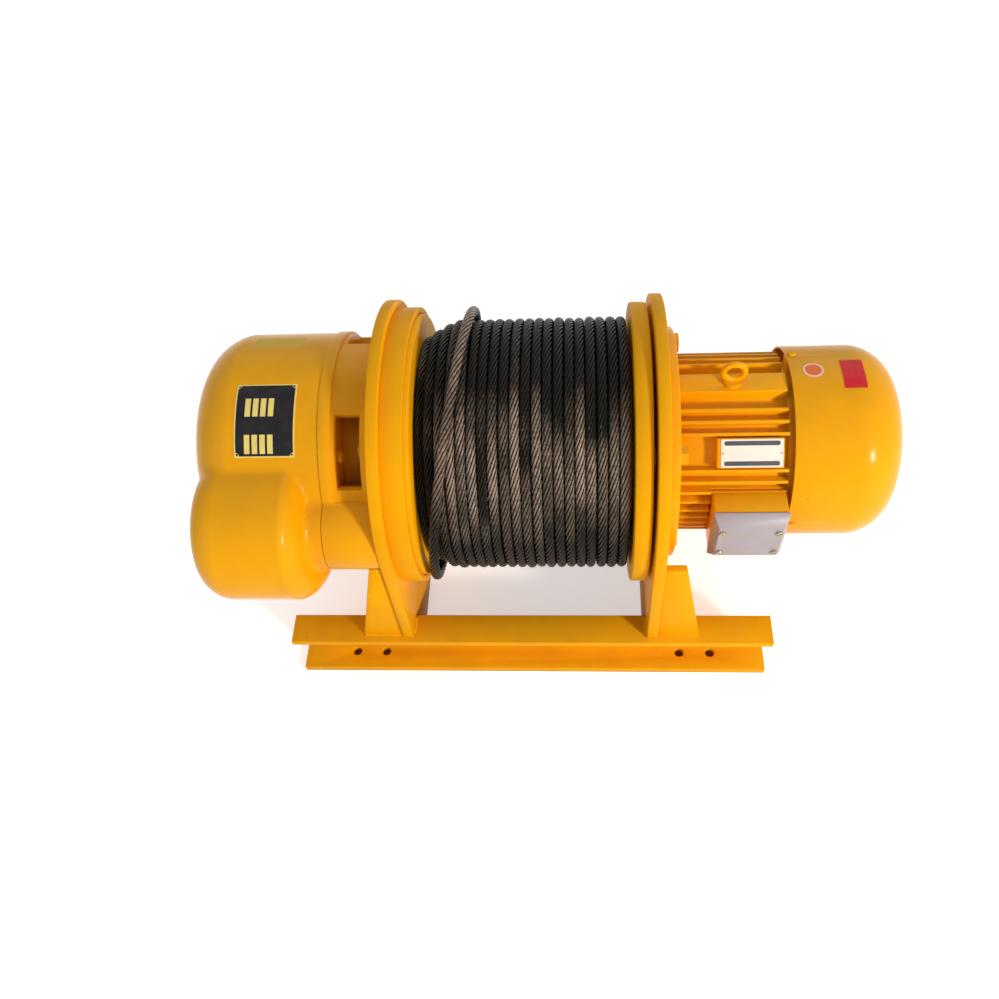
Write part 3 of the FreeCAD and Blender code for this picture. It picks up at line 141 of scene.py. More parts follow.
def sprayed_enamel(name, ripple_mm, thin, roughness, shine):
    """Alkyd enamel, sprayed over primer.

    To the eye: an even gloss with orange peel and long soft ripples, duskier where it is thin, a film of
    dust on faces that look up, with painted shade that darkens them, and a few small chips down to the
    primer.
    """
    colours = bpy.context.scene.winch_colours
    material, tree, shader, place = new_material(name)
    patches = add_node(tree, "ShaderNodeTexNoise", {"Vector": place, "Scale": 1 / (75 * MM), "Detail": 3.0})
    spread = add_node(tree, "ShaderNodeMapRange", {
        "Value": patches.outputs["Fac"], "From Min": 0.35, "From Max": 0.75, "To Min": 0.0, "To Max": thin})
    paint = add_node(tree, "ShaderNodeMix", {
        0: spread.outputs["Result"], 6: colours.enamel, 7: colours.enamel_shade}, data_type="RGBA")
    # faces that look up go towards the dust colour: a film of dust, and painted shade on the tops
    facing = add_node(tree, "ShaderNodeTexCoord").outputs["Normal"]
    upward = add_node(tree, "ShaderNodeSeparateXYZ", {0: facing})
    dust_and_shade_share = add_node(tree, "ShaderNodeMapRange", {
        "Value": upward.outputs["Z"], "From Min": 0.45, "From Max": 1.0, "To Min": 0.0, "To Max": 0.45})
    drift = add_node(tree, "ShaderNodeTexNoise", {"Vector": place, "Scale": 1 / (30 * MM), "Detail": 5.0})
    film = add_node(tree, "ShaderNodeMath", {
        0: dust_and_shade_share.outputs["Result"], 1: drift.outputs["Fac"]}, operation="MULTIPLY")
    dust_and_shade_paint = add_node(tree, "ShaderNodeMix", {
        0: film.outputs["Value"], 6: paint.outputs[2], 7: colours.dust_and_shade}, data_type="RGBA")
    chips = add_node(tree, "ShaderNodeTexNoise", {"Vector": place, "Scale": 1 / (11 * MM), "Detail": 4.0})
    bare = add_node(tree, "ShaderNodeMapRange", {
        "Value": chips.outputs["Fac"], "From Min": 0.74, "From Max": 0.77, "To Min": 0.0, "To Max": 0.7})
    worn = add_node(tree, "ShaderNodeMix", {
        0: bare.outputs["Result"], 6: dust_and_shade_paint.outputs[2], 7: linear("#6A3C10")}, data_type="RGBA")
    tree.links.new(worn.outputs[2], shader.inputs["Base Color"])
    haze = add_node(tree, "ShaderNodeMapRange", {
        "Value": drift.outputs["Fac"], "From Min": 0.3, "From Max": 0.7,
        "To Min": roughness, "To Max": roughness + 0.09})
    tree.links.new(haze.outputs["Result"], shader.inputs["Roughness"])
    shader.inputs["IOR"].default_value = 1.48
    shader.inputs["Specular IOR Level"].default_value = shine
    shader.inputs["Coat Weight"].default_value = 0.3 * shine
    shader.inputs["Coat Roughness"].default_value = 0.12
    ripples = add_node(tree, "ShaderNodeTexNoise", {"Vector": place, "Scale": 1 / (24 * MM), "Detail": 1.0})
    wave = add_node(tree, "ShaderNodeBump", {
        "Height": ripples.outputs["Fac"], "Strength": 1.0, "Distance": ripple_mm * MM})
    # orange peel is about 1 mm across; drawn at 1.8 mm so that it shows
    peel = add_node(tree, "ShaderNodeTexNoise", {"Vector": place, "Scale": 1 / (1.8 * MM), "Detail": 1.0})
    skin = add_node(tree, "ShaderNodeBump", {
        "Height": peel.outputs["Fac"], "Normal": wave.outputs["Normal"], "Strength": 1.0,
        "Distance": 0.035 * MM})
    tree.links.new(skin.outputs["Normal"], shader.inputs["Normal"])
    return material


def greased_wire_rope():
    """Drawn steel wire, laid up in eight strands and greased.

    To the eye: rubbed taupe crowns, turns that differ in grime and in painted shade, black-green grooves
    of old grease and painted shade, and a wet glint.
    """
    colours = bpy.context.scene.winch_colours
    material, tree, shader, place = new_material("Greased steel wire rope")
    crown = add_node(tree, "ShaderNodeAttribute", attribute_name="crown").outputs["Fac"]
    tone = add_node(tree, "ShaderNodeAttribute", attribute_name="tone").outputs["Fac"]
    grit = add_node(tree, "ShaderNodeTexNoise", {"Vector": place, "Scale": 1 / (3.5 * MM), "Detail": 3.0})
    rubbed = add_node(tree, "ShaderNodeMath", {0: tone, 1: grit.outputs["Fac"]}, operation="MULTIPLY")
    worn = add_node(tree, "ShaderNodeMapRange", {
        "Value": rubbed.outputs["Value"], "From Min": 0.06, "From Max": 0.50})
    steel = add_node(tree, "ShaderNodeMix", {
        0: worn.outputs["Result"], 6: colours.rope_dark, 7: colours.rope_light}, data_type="RGBA")
    # crown is low between the strands and on each turn's sides, which take the groove colour: old grease,
    # with painted shade between the turns
    height = add_node(tree, "ShaderNodeMapRange", {"Value": crown, "From Min": 0.28, "From Max": 0.92})
    # here and there dried grease fills the grooves between the strands
    crust = add_node(tree, "ShaderNodeTexNoise", {"Vector": place, "Scale": 1 / (14 * MM), "Detail": 2.0})
    fill = add_node(tree, "ShaderNodeMapRange", {
        "Value": crust.outputs["Fac"], "From Min": 0.52, "From Max": 0.68, "To Min": 0.0, "To Max": 0.5})
    side = add_node(tree, "ShaderNodeMapRange", {
        "Value": crown, "From Min": 0.05, "From Max": 0.35, "To Min": 0.0, "To Max": 1.0})
    filled = add_node(tree, "ShaderNodeMath", {
        0: fill.outputs["Result"], 1: side.outputs["Result"]}, operation="MULTIPLY")
    level = add_node(tree, "ShaderNodeMath", {
        0: height.outputs["Result"], 1: filled.outputs["Value"]}, operation="MAXIMUM")
    rope = add_node(tree, "ShaderNodeMix", {
        0: level.outputs["Value"], 6: colours.rope_grease_and_shade, 7: steel.outputs[2]}, data_type="RGBA")
    tree.links.new(rope.outputs[2], shader.inputs["Base Color"])
    sheen = add_node(tree, "ShaderNodeMapRange", {
        "Value": grit.outputs["Fac"], "From Min": 0.3, "From Max": 0.7, "To Min": 0.15, "To Max": 0.32})
    tree.links.new(sheen.outputs["Result"], shader.inputs["Roughness"])
    shader.inputs["Metallic"].default_value = 0.03
    shader.inputs["Specular IOR Level"].default_value = 0.09
    # single wires are 0.6 mm; drawn at 0.9 mm so that they show
    wires = add_node(tree, "ShaderNodeTexNoise", {"Vector": place, "Scale": 1 / (0.9 * MM), "Detail": 2.0})
    lines = add_node(tree, "ShaderNodeBump", {
        "Height": wires.outputs["Fac"], "Strength": 0.7, "Distance": 0.15 * MM})
    tree.links.new(lines.outputs["Normal"], shader.inputs["Normal"])
    return material


def cast_aluminium():
    """Pressure-cast aluminium. To the eye: a pale lilac-grey skin with fine grain and soft stains."""
    colours = bpy.context.scene.winch_colours
    material, tree, shader, place = new_material("Cast aluminium")
    stains = add_node(tree, "ShaderNodeTexNoise", {"Vector": place, "Scale": 1 / (18 * MM), "Detail": 4.0})
    spread = add_node(tree, "ShaderNodeMapRange", {
        "Value": stains.outputs["Fac"], "From Min": 0.4, "From Max": 0.7, "To Min": 0.0, "To Max": 0.6})
    skin = add_node(tree, "ShaderNodeMix", {
        0: spread.outputs["Result"], 6: colours.lid, 7: linear("#A39A96")}, data_type="RGBA")
    tree.links.new(skin.outputs[2], shader.inputs["Base Color"])
    shader.inputs["Roughness"].default_value = 0.45
    shader.inputs["Metallic"].default_value = 0.15
    grain = add_node(tree, "ShaderNodeTexNoise", {"Vector": place, "Scale": 1 / (1.4 * MM), "Detail": 3.0})
    rough = add_node(tree, "ShaderNodeBump", {
        "Height": grain.outputs["Fac"], "Strength": 1.0, "Distance": 0.07 * MM})
    tree.links.new(rough.outputs["Normal"], shader.inputs["Normal"])
    return material


def worked_steel(name, hex_light, hex_dark, roughness, metallic=1.0, grain_mm=1.2):
    """Bare, plated or moulded stock. To the eye: two close colours in stains, and fine tool marks."""
    material, tree, shader, place = new_material(name)
    stains = add_node(tree, "ShaderNodeTexNoise", {"Vector": place, "Scale": 1 / (6 * MM), "Detail": 5.0})
    skin = add_node(tree, "ShaderNodeMix", {
        0: stains.outputs["Fac"], 6: linear(hex_light), 7: linear(hex_dark)}, data_type="RGBA")
    tree.links.new(skin.outputs[2], shader.inputs["Base Color"])
    shader.inputs["Metallic"].default_value = metallic
    polish = add_node(tree, "ShaderNodeMapRange", {
        "Value": stains.outputs["Fac"], "From Min": 0.3, "From Max": 0.7,
        "To Min": roughness - 0.08, "To Max": roughness + 0.12})
    tree.links.new(polish.outputs["Result"], shader.inputs["Roughness"])
    marks = add_node(tree, "ShaderNodeTexNoise", {
        "Vector": place, "Scale": 1 / (grain_mm * MM), "Detail": 2.0})
    tool = add_node(tree, "ShaderNodeBump", {
        "Height": marks.outputs["Fac"], "Strength": 0.6, "Distance": 0.05 * MM})
    tree.links.new(tool.outputs["Normal"], shader.inputs["Normal"])
    return material


def printed_foil(name, colour, gloss, smear=0.2):
    """Printed foil or anodised sheet. To the eye: an even colour, faint smears and a soft gloss."""
    material, tree, shader, place = new_material(name)
    smears = add_node(tree, "ShaderNodeTexNoise", {"Vector": place, "Scale": 1 / (12 * MM), "Detail": 4.0})
    spread = add_node(tree, "ShaderNodeMapRange", {
        "Value": smears.outputs["Fac"], "From Min": 0.4, "From Max": 0.75, "To Min": 0.0, "To Max": smear})
    ink = add_node(tree, "ShaderNodeMix", {
        0: spread.outputs["Result"], 6: colour, 7: linear("#8A7450")}, data_type="RGBA")
    tree.links.new(ink.outputs[2], shader.inputs["Base Color"])
    haze = add_node(tree, "ShaderNodeMapRange", {
        "Value": smears.outputs["Fac"], "From Min": 0.3, "From Max": 0.7,
        "To Min": gloss, "To Max": gloss + 0.15})
    tree.links.new(haze.outputs["Result"], shader.inputs["Roughness"])
    shader.inputs["Specular IOR Level"].default_value = 0.20
    sheet = add_node(tree, "ShaderNodeBump", {
        "Height": smears.outputs["Fac"], "Strength": 0.4, "Distance": 0.06 * MM})
    tree.links.new(sheet.outputs["Normal"], shader.inputs["Normal"])
    return material


def finishes():
    """Every finish by its short name, made on first use."""
    if not FINISHES:
        colours = bpy.context.scene.winch_colours
        FINISHES.update({
            "steelwork": sprayed_enamel("Sprayed enamel on steel", 0.10, 0.55, 0.42, 0.04),
            "casting": sprayed_enamel("Sprayed enamel on castings", 0.30, 0.45, 0.19, 0.09),
            "rope": greased_wire_rope(),
            "lid": cast_aluminium(),
            "zinc": worked_steel("Zinc-plated steel", "#C9C4B4", "#8E8672", 0.34),
            "dark_zinc": worked_steel("Oiled dark steel", "#6B5A40", "#3A2E20", 0.42),
            "bearing": worked_steel("Ground bearing steel", "#C8C9CC", "#9FA2A6", 0.22),
            "gear": worked_steel("Hobbed gear steel", "#A9A59C", "#6E675C", 0.30),
            "core": worked_steel("Laminated core steel", "#6C6E72", "#47484B", 0.45, 0.8, 0.8),
            "copper": worked_steel("Varnished copper wire", "#B5632F", "#7C3A18", 0.35, 0.9, 0.9),
            "plastic": worked_steel("Moulded phenolic plastic", "#2A2826", "#1B1A19", 0.45, 0.0),
            "fan": worked_steel("Moulded polypropylene", "#3A3B3D", "#2A2B2C", 0.50, 0.0),
            "lining": worked_steel("Pressed brake lining", "#5A4A3C", "#332A22", 0.80, 0.0, 0.7),
            "plate_black": printed_foil("Black anodised aluminium", colours.plate_black, 0.28, 0.06),
            "plate_field": printed_foil("Printed plate fields", colours.plate_field, 0.40),
            "plate_pale": printed_foil("Etched aluminium plate", linear("#EDECE6"), 0.30, 0.08),
            "plate_grey": printed_foil("Printed grey bars", linear("#4C525C"), 0.35),
            "label_red": printed_foil("Printed label foil", colours.label_red, 0.35),
            "label_orange": printed_foil("Printed round foil", linear("#E8693A"), 0.35),
            "label_pale": printed_foil("Pale label rim", linear("#F0D3B8"), 0.38),
            "label_olive": printed_foil("Faded clear foil", linear("#D0AC20"), 0.42, 0.05),
        })
    return FINISHES


def settle(obj, finish, body, smooth_degrees=32.0):
    """Gives a new piece its finish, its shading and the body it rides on."""
    obj.data.materials.clear()
    obj.data.materials.append(finishes()[finish])
    obj.data.shade_smooth()
    obj.data.set_sharp_from_angle(angle=math.radians(smooth_degrees))
    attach(obj, body)
    return obj


def linked(name, data):
    """New object that carries a mesh, lamp or camera, linked into the scene."""
    obj = bpy.data.objects.new(name, data)
    bpy.context.scene.collection.objects.link(obj)
    return obj


def from_work(name, work):
    """New object from a work mesh, which is freed."""
    mesh = bpy.data.meshes.new(name)
    work.to_mesh(mesh)
    work.free()
    return linked(name, mesh)


def piece(name, verts, faces, finish, body, smooth_degrees=32.0):
    """New mesh piece from points in metres."""
    mesh = bpy.data.meshes.new(name)
    mesh.from_pydata([tuple(v) for v in verts], [], [tuple(f) for f in faces])
    mesh.validate()
    work = bmesh.new()
    work.from_mesh(mesh)
    bmesh.ops.recalc_face_normals(work, faces=work.faces)
    work.to_mesh(mesh)
    work.free()
    return settle(linked(name, mesh), finish, body, smooth_degrees)


def rounded(node, name, width, finish, body, segments=2):
    """Copy of a CAD node with its sharp edges rounded over, which stands for the node."""
    mesh = frame["nodes"][node].data.copy()
    mesh.name = name
    work = bmesh.new()
    work.from_mesh(mesh)
    bmesh.ops.remove_doubles(work, verts=work.verts, dist=SAME_SPOT)
    bmesh.ops.dissolve_limit(
        work, angle_limit=math.radians(0.4), verts=work.verts, edges=work.edges)
    sharp = [e for e in work.edges if e.is_manifold and e.calc_face_angle(0.0) > SHARP]
    bmesh.ops.bevel(
        work, geom=sharp, offset=width, offset_type="OFFSET", segments=segments, profile=0.5,
        affect="EDGES", clamp_overlap=False)
    work.to_mesh(mesh)
    work.free()
    obj = linked(name, mesh)
    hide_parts(node)
    return settle(obj, finish, body, 40.0)


def weld_bead(name, points, leg, seed):
    """Painted fillet weld along straight runs, with the ripples that the arc leaves."""
    rng = random.Random(seed)
    verts, faces, rings = [], [], []
    sides, spacing, tapered = 8, 1.3 * MM, 3.0
    for start, end in zip(points[:-1], points[1:]):
        a, b = Vector(start), Vector(end)
        along = (b - a).normalized()
        side = along.orthogonal().normalized()
        other = along.cross(side)
        count = max(3, int((b - a).length / spacing))
        run = []
        for step in range(count + 1):
            middle = a.lerp(b, step / count)
            end_part = min(step, count - step) / tapered
            fat = leg * (0.90 + 0.14 * math.sin(step * 2.1) + rng.uniform(-0.06, 0.06))
            fat *= math.sqrt(min(1.0, end_part + 0.12))
            ring = []
            for k in range(sides):
                turn = 2.0 * math.pi * k / sides
                ring.append(len(verts))
                verts.append(middle + fat * (math.cos(turn) * side + math.sin(turn) * other))
            run.append(ring)
        rings.append(run)
    for run in rings:
        for low, high in zip(run[:-1], run[1:]):
            for k in range(sides):
                faces.append((low[k], low[(k + 1) % sides], high[(k + 1) % sides], high[k]))
        faces.append(tuple(reversed(run[0])))
        faces.append(tuple(run[-1]))
    return piece(name, verts, faces, "steelwork", "frame", 80.0)


def rounded_block(name, lower, upper, width):
    """Painted steel block between two rings of corners, with its edges rounded over."""
    work = bmesh.new()
    low = [work.verts.new(corner) for corner in lower]
    top = [work.verts.new(corner) for corner in upper]
    work.faces.new(low)
    work.faces.new(top)
    for k in range(len(low)):
        work.faces.new((low[k - 1], low[k], top[k], top[k - 1]))
    bmesh.ops.recalc_face_normals(work, faces=work.faces)
    bmesh.ops.bevel(
        work, geom=work.edges[:], offset=width, offset_type="OFFSET", segments=2, profile=0.5,
        affect="EDGES")
    return settle(from_work(name, work), "steelwork", "frame", 40.0)


class WINCH_OT_base_frame(bpy.types.Operator):
    """Rails, support plates, gussets and guard ring with rounded edges and weld beads"""
    bl_idname = "winch.base_frame"
    bl_label = "Base frame"
    TIE_LIFT = 2.0 * MM           # lower edge of the ties above the floor
    TIE_PLAY = 0.3 * MM           # between a tie and each rail
    TIP_FRONT = 228.2 * MM        # top of the gear side's front gusset, at its face
    TIP_BACK = 213.6 * MM         # and at its back, where the gearbox's neck is lower
    TIP_REACH = 3.0 * MM          # corners this close to the CAD gusset's top go up with it
    GUSSET_TOP = 22.0 * MM        # width of the CAD gusset at its top
    GUSSET_THICKNESS = 8.0 * MM
    WELD_STOP = 4.0 * MM          # from the gusset's top down to the end of its weld
    WELD_INSET = 2.0 * MM         # from a plate's corners to the ends of its weld

    def cross_tie(self, name, plate, rail_inner, edge):
        """Lower end of a support plate, which ties the two rails together."""
        low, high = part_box(plate)
        half = rail_inner - self.TIE_PLAY
        ring = ((low.x, -half), (high.x, -half), (high.x, half), (low.x, half))
        foot = [(x, y, self.TIE_LIFT) for x, y in ring]
        rounded_block(name, foot, [(x, y, low.z) for x, y in ring], edge)

    def raise_gusset(self, gussets, rail_top):
        """Carries the front gusset on the gear side up to the underside of the gearbox's neck."""
        low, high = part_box("gear_side_gussets")
        lean = (high.x - low.x - self.GUSSET_TOP) / (high.z - rail_top)
        for vert in gussets.data.vertices:
            if vert.co.y > 0.0 or vert.co.z < high.z - self.TIP_REACH:
                continue
            depth = (vert.co.y - low.y) / self.GUSSET_THICKNESS
            rise = self.TIP_FRONT + (self.TIP_BACK - self.TIP_FRONT) * depth - high.z
            vert.co.x += lean * rise * (high.x - vert.co.x) / self.GUSSET_TOP
            vert.co.z += rise

    def welds(self, side, leg, rail_top, rail_inner):
        """Beads round the feet of one side's gussets and plate, the same at the front and at the rear."""
        p_low, p_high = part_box(side + "_side_plate")
        g_low, g_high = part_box(side + "_side_gussets")
        joint_x, inner_x, foot_x = p_high.x, p_low.x, g_high.x
        if side == "gear":
            joint_x, inner_x, foot_x = p_low.x, p_high.x, g_low.x
        for where, sign in (("front", -1.0), ("rear", 1.0)):
            outer = sign * g_high.y
            inner = sign * (g_high.y - self.GUSSET_THICKNESS)
            weld_bead(f"weld_{side}_{where}_gusset", [
                (joint_x, inner, g_high.z - self.WELD_STOP), (joint_x, inner, rail_top),
                (foot_x, inner, rail_top)], leg, seed=11)
            weld_bead(f"weld_{side}_{where}_gusset_out", [
                (joint_x, outer, rail_top), (foot_x, outer, rail_top)], 0.7 * leg, seed=12)
            weld_bead(f"weld_{side}_{where}_plate", [
                (inner_x, sign * (g_high.y - self.WELD_INSET), rail_top),
                (inner_x, sign * (rail_inner + self.WELD_INSET), rail_top)], leg, seed=13)

    def execute(self, context):
        sizes = context.scene.winch_sizes
        edge = sizes.edge_round
        painted = {}
        for node in ("front_rail", "rear_rail", "gear_side_plate", "motor_side_plate",
                     "gear_side_gussets", "motor_side_gussets", "drum_guard_ring"):
            painted[node] = rounded(node, "painted_" + node, edge, "steelwork", "frame")
        rail_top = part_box("rear_rail")[1].z
        rail_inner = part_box("rear_rail")[0].y
        for side in ("gear", "motor"):
            self.cross_tie(side + "_side_tie", side + "_side_plate", rail_inner, edge)
        self.raise_gusset(painted["gear_side_gussets"], rail_top)
        for side in ("gear", "motor"):
            self.welds(side, sizes.weld_leg, rail_top, rail_inner)
        return {"FINISHED"}


def arc_points(p, q, r, count):
    """Points on the arc through three (x, r) points, without the first."""
    (ax, ay), (bx, by), (cx, cy) = p, q, r
    d = 2.0 * (ax * (by - cy) + bx * (cy - ay) + cx * (ay - by))
    ux = ((ax**2 + ay**2) * (by - cy) + (bx**2 + by**2) * (cy - ay) + (cx**2 + cy**2) * (ay - by)) / d
    uy = ((ax**2 + ay**2) * (cx - bx) + (bx**2 + by**2) * (ax - cx) + (cx**2 + cy**2) * (bx - ax)) / d
    radius = math.hypot(ax - ux, ay - uy)
    start = math.atan2(ay - uy, ax - ux)
    end = math.atan2(cy - uy, cx - ux)
    turn = (end - start + math.pi) % (2.0 * math.pi) - math.pi
    angles = [start + turn * step / count for step in range(1, count + 1)]
    return [(ux + radius * math.cos(angle), uy + radius * math.sin(angle)) for angle in angles]


def outline_distance(points, outline):
    """Signed distance of (x, r) points to a closed outline, negative inside."""
    px, py = points[:, 0], points[:, 1]
    best = np.full(len(points), 1e9)
    inside = np.zeros(len(points), bool)
    for (ax, ay), (bx, by) in zip(outline, outline[1:] + outline[:1]):
        ex, ey = bx - ax, by - ay
        if ex == 0.0 and ey == 0.0:
            continue
        share = np.clip(((px - ax) * ex + (py - ay) * ey) / (ex * ex + ey * ey), 0.0, 1.0)
        best = np.minimum(best, (px - ax - share * ex) ** 2 + (py - ay - share * ey) ** 2)
        if ay != by:
            crosses = ((ay > py) != (by > py)) & (px < ex * (py - ay) / ey + ax)
            inside ^= crosses
    return np.where(inside, -1.0, 1.0) * np.sqrt(best)


class CoverShape:
    """Outside of the gear cover as a smooth blend of turned forms, in millimetres about the drum axis."""
    RADIUS = 126.0            # main part
    SHOULDER = 51.0           # length of its domed end
    LOBE_R = 76.3             # lobe at the front
    LOBE_BACK = 7.0           # from the main part's end to the lobe's
    LOBE_SHOULDER = 40.5      # length of the lobe's rounded end
    LOBE_TAIL = 23.0          # length of its rounded tail
    NECK_R = 45.0             # neck from the lobe to the side plate
    NECK_START = 40.0         # how far inside the lobe the neck begins
    TAIL_GAP = 7.0            # from the lobe's tail to the joint
    PAST_JOINT = 14.0         # drawn past the joint, then cut there
    TAIL_LEAN = 15.0          # how much further back the tail ends at the top than at the bottom

    def __init__(self, fillet_mm):
        self.fillet = fillet_mm
        end, joint = (corner.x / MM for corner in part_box("gear_cover"))
        low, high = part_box("countershaft")
        self.joint = joint
        self.lobe_place = (0.5 * (low.y + high.y) / MM, (0.5 * (low.z + high.z) - AXIS_Z) / MM)
        radius, lobe = self.RADIUS, self.LOBE_R
        far = joint + self.PAST_JOINT
        tip, knee = (end, 0.1 * radius), (end + 6.0, radius - 44.0)
        self.main = [tip] + arc_points(tip, (end + 1.4, 0.34 * radius), knee, 10)
        self.main += arc_points(knee, (end + 21.5, radius - 15.3), (end + self.SHOULDER, radius), 16)
        self.main += [(far, radius), (far, -radius), (end, -0.1 * radius)]
        left, right = end + self.LOBE_BACK, joint - self.TAIL_GAP
        self.tail = right
        tip, knee = (left, 0.1 * lobe), (left + 11.0, 0.8 * lobe)
        shoulder, tail = (left + self.LOBE_SHOULDER, lobe), (right - self.LOBE_TAIL, lobe)
        self.lobe = [tip] + arc_points(tip, (left + 3.1, 0.477 * lobe), knee, 10)
        self.lobe += arc_points(knee, (left + 23.3, 0.95 * lobe), shoulder, 10) + [tail]
        curl = (right - 0.34 * self.LOBE_TAIL, 0.88 * lobe)
        self.lobe += arc_points(tail, curl, (right, self.NECK_R - 2.0), 12)
        self.lobe += [(right, -lobe), (left, -lobe)]
        near = right - self.NECK_START
        self.neck = [(near, -self.NECK_R), (near, self.NECK_R), (far, self.NECK_R), (far, -self.NECK_R)]

    def turned(self, points, outline, place):
        """Distance of points to an outline turned about an axis along X at a place."""
        radius = np.hypot(points[:, 1] - place[0], points[:, 2] - place[1])
        return outline_distance(np.column_stack([points[:, 0], radius]), outline)

    def blend(self, a, b):
        """Union of two forms with a soft fillet between them."""
        part = np.maximum(self.fillet - np.abs(a - b), 0.0) / self.fillet
        return np.minimum(a, b) - part * part * self.fillet * 0.25

    def distance(self, points):
        """Distance of points to the whole cover; the lobe's tail leans back towards its top."""
        main = self.turned(points, self.main, (0.0, 0.0))
        height = np.clip((points[:, 2] - self.lobe_place[1] + 0.8 * self.LOBE_R) / self.LOBE_R, 0.0, 1.0)
        near = np.clip((points[:, 0] - self.tail + 2.0 * self.LOBE_TAIL) / (2.0 * self.LOBE_TAIL), 0.0, 1.0)
        leaning = points.copy()
        leaning[:, 0] += self.TAIL_LEAN * height * near
        lobe = self.turned(leaning, self.lobe, self.lobe_place)
        neck = self.turned(points, self.neck, self.lobe_place)
        return self.blend(main, self.blend(lobe, neck))

    def pull(self, points, rounds=5, probe=0.25):
        """Moves points onto the blended surface."""
        for _ in range(rounds):
            value = self.distance(points)
            slope = np.empty_like(points)
            for axis in range(3):
                step = np.zeros(3)
                step[axis] = probe
                slope[:, axis] = (self.distance(points + step) - self.distance(points - step)) / (2.0 * probe)
            size = np.maximum((slope ** 2).sum(1), 0.25)
            points = points - slope * (value / size)[:, None]
        return points


def turned_shell(outline, place, steps=72):
    """Closed shell turned from the upper half of an outline, in millimetres about the drum axis."""
    upper = [(x, r) for x, r in outline if r > 0.0]
    verts, faces = [], []
    for x, r in upper:
        for step in range(steps):
            turn = 2.0 * math.pi * step / steps
            verts.append((x, place[0] - r * math.cos(turn), place[1] + r * math.sin(turn)))
    for row in range(len(upper) - 1):
        for step in range(steps):
            a, b = row * steps + step, row * steps + (step + 1) % steps
            faces.append((a, b, b + steps, a + steps))
    faces.append(tuple(range(steps - 1, -1, -1)))
    faces.append(tuple(range((len(upper) - 1) * steps, len(upper) * steps)))
    return verts, faces


def apply_modifiers(obj):
    """Replaces an object's mesh by its evaluated one."""
    graph = bpy.context.evaluated_depsgraph_get()
    mesh = bpy.data.meshes.new_from_object(obj.evaluated_get(graph))
    obj.modifiers.clear()
    obj.data = mesh


class WINCH_OT_gearbox(bpy.types.Operator):
    """Cast gear cover with soft fillets, and the case with its windows"""
    bl_idname = "winch.gearbox"
    bl_label = "Gearbox"
    VOXEL = 2.5               # mm, grain of the first coarse skin, which is then pulled onto the form
    JOINT_GAP = 0.6           # mm, shadow line between cover and case
    CASE_ROUND = 0.35 * MM
    BOSS = ((13.5, 52), (13.5, 76), (18, 71), (38, 70), (43.5, 74), (43.5, 52))   # mm past the joint, radius
    BOSS_STEPS = 72

    def coarse_skin(self, context, shape):
        """The cover's turned forms run together to one closed skin, in millimetres about the drum axis."""
        verts, faces = [], []
        for outline, place in ((shape.main, (0.0, 0.0)), (shape.lobe, shape.lobe_place),
                               (shape.neck, shape.lobe_place)):
            more_verts, more_faces = turned_shell(outline, place)
            faces += [tuple(i + len(verts) for i in f) for f in more_faces]
            verts += more_verts
        mesh = bpy.data.meshes.new("cast_gear_cover")
        mesh.from_pydata(verts, [], faces)
        cover = linked("cast_gear_cover", mesh)
        remesh = cover.modifiers.new("Cast", "REMESH")
        remesh.mode = "VOXEL"
        remesh.voxel_size = self.VOXEL
        context.view_layer.update()
        apply_modifiers(cover)
        return cover

    def cast_cover(self, context, shape):
        """Gear cover with soft fillets, cut off at the joint."""
        cover = self.coarse_skin(context, shape)
        mesh = cover.data
        points = np.empty(len(mesh.vertices) * 3)
        mesh.vertices.foreach_get("co", points)
        points = shape.pull(points.reshape(-1, 3))
        points[:, 2] += AXIS_Z / MM
        mesh.vertices.foreach_set("co", (points * MM).ravel())
        work = bmesh.new()
        work.from_mesh(mesh)
        cut = bmesh.ops.bisect_plane(
            work, geom=work.verts[:] + work.edges[:] + work.faces[:], dist=1e-6, clear_outer=True,
            plane_co=((shape.joint - self.JOINT_GAP) * MM, 0.0, 0.0), plane_no=(1.0, 0.0, 0.0))
        rim = [e for e in cut["geom_cut"] if isinstance(e, bmesh.types.BMEdge)]
        bmesh.ops.edgeloop_fill(work, edges=rim)
        bmesh.ops.recalc_face_normals(work, faces=work.faces)
        work.to_mesh(mesh)
        work.free()
        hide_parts("gear_cover")
        settle(cover, "casting", "frame", 50.0)

    def bearing_boss(self, joint):
        """Waisted ring behind the case's windows."""
        steps = self.BOSS_STEPS
        verts, faces = turned_shell([(joint + x, r) for x, r in self.BOSS], (0.0, 0.0), steps)
        last = (len(self.BOSS) - 1) * steps
        bore = [(last + s, last + (s + 1) % steps, (s + 1) % steps, s) for s in range(steps)]
        verts = [Vector((x, y, z + AXIS_Z / MM)) * MM for x, y, z in verts]
        piece("cast_bearing_boss", verts, faces[:-2] + bore, "casting", "frame")

    def execute(self, context):
        shape = CoverShape(context.scene.winch_sizes.cover_fillet / MM)
        self.cast_cover(context, shape)
        rounded("gear_case", "cast_gear_case", self.CASE_ROUND, "casting", "frame")
        self.bearing_boss(shape.joint)
        return {"FINISHED"}


class WINCH_OT_drum(bpy.types.Operator):
    """Drum flanges with rounded rims"""
    bl_idname = "winch.drum"
    bl_label = "Drum"

    def execute(self, context):
        sizes = context.scene.winch_sizes
        for node in ("drum_gear_flange", "drum_motor_flange"):
            rounded(node, "painted_" + node, sizes.edge_round, "steelwork", "drum")
        return {"FINISHED"}


def smooth_noise(count, knots, size, rng):
    """Seeded soft wander: random values at knots, joined by cosine steps."""
    values = np.array([rng.uniform(-size, size) for _ in range(knots + 1)])
    where = np.linspace(0.0, knots, count, endpoint=False)
    low = np.floor(where).astype(int)
    part = 0.5 - 0.5 * np.cos((where - low) * math.pi)
    return values[low] * (1.0 - part) + values[low + 1] * part


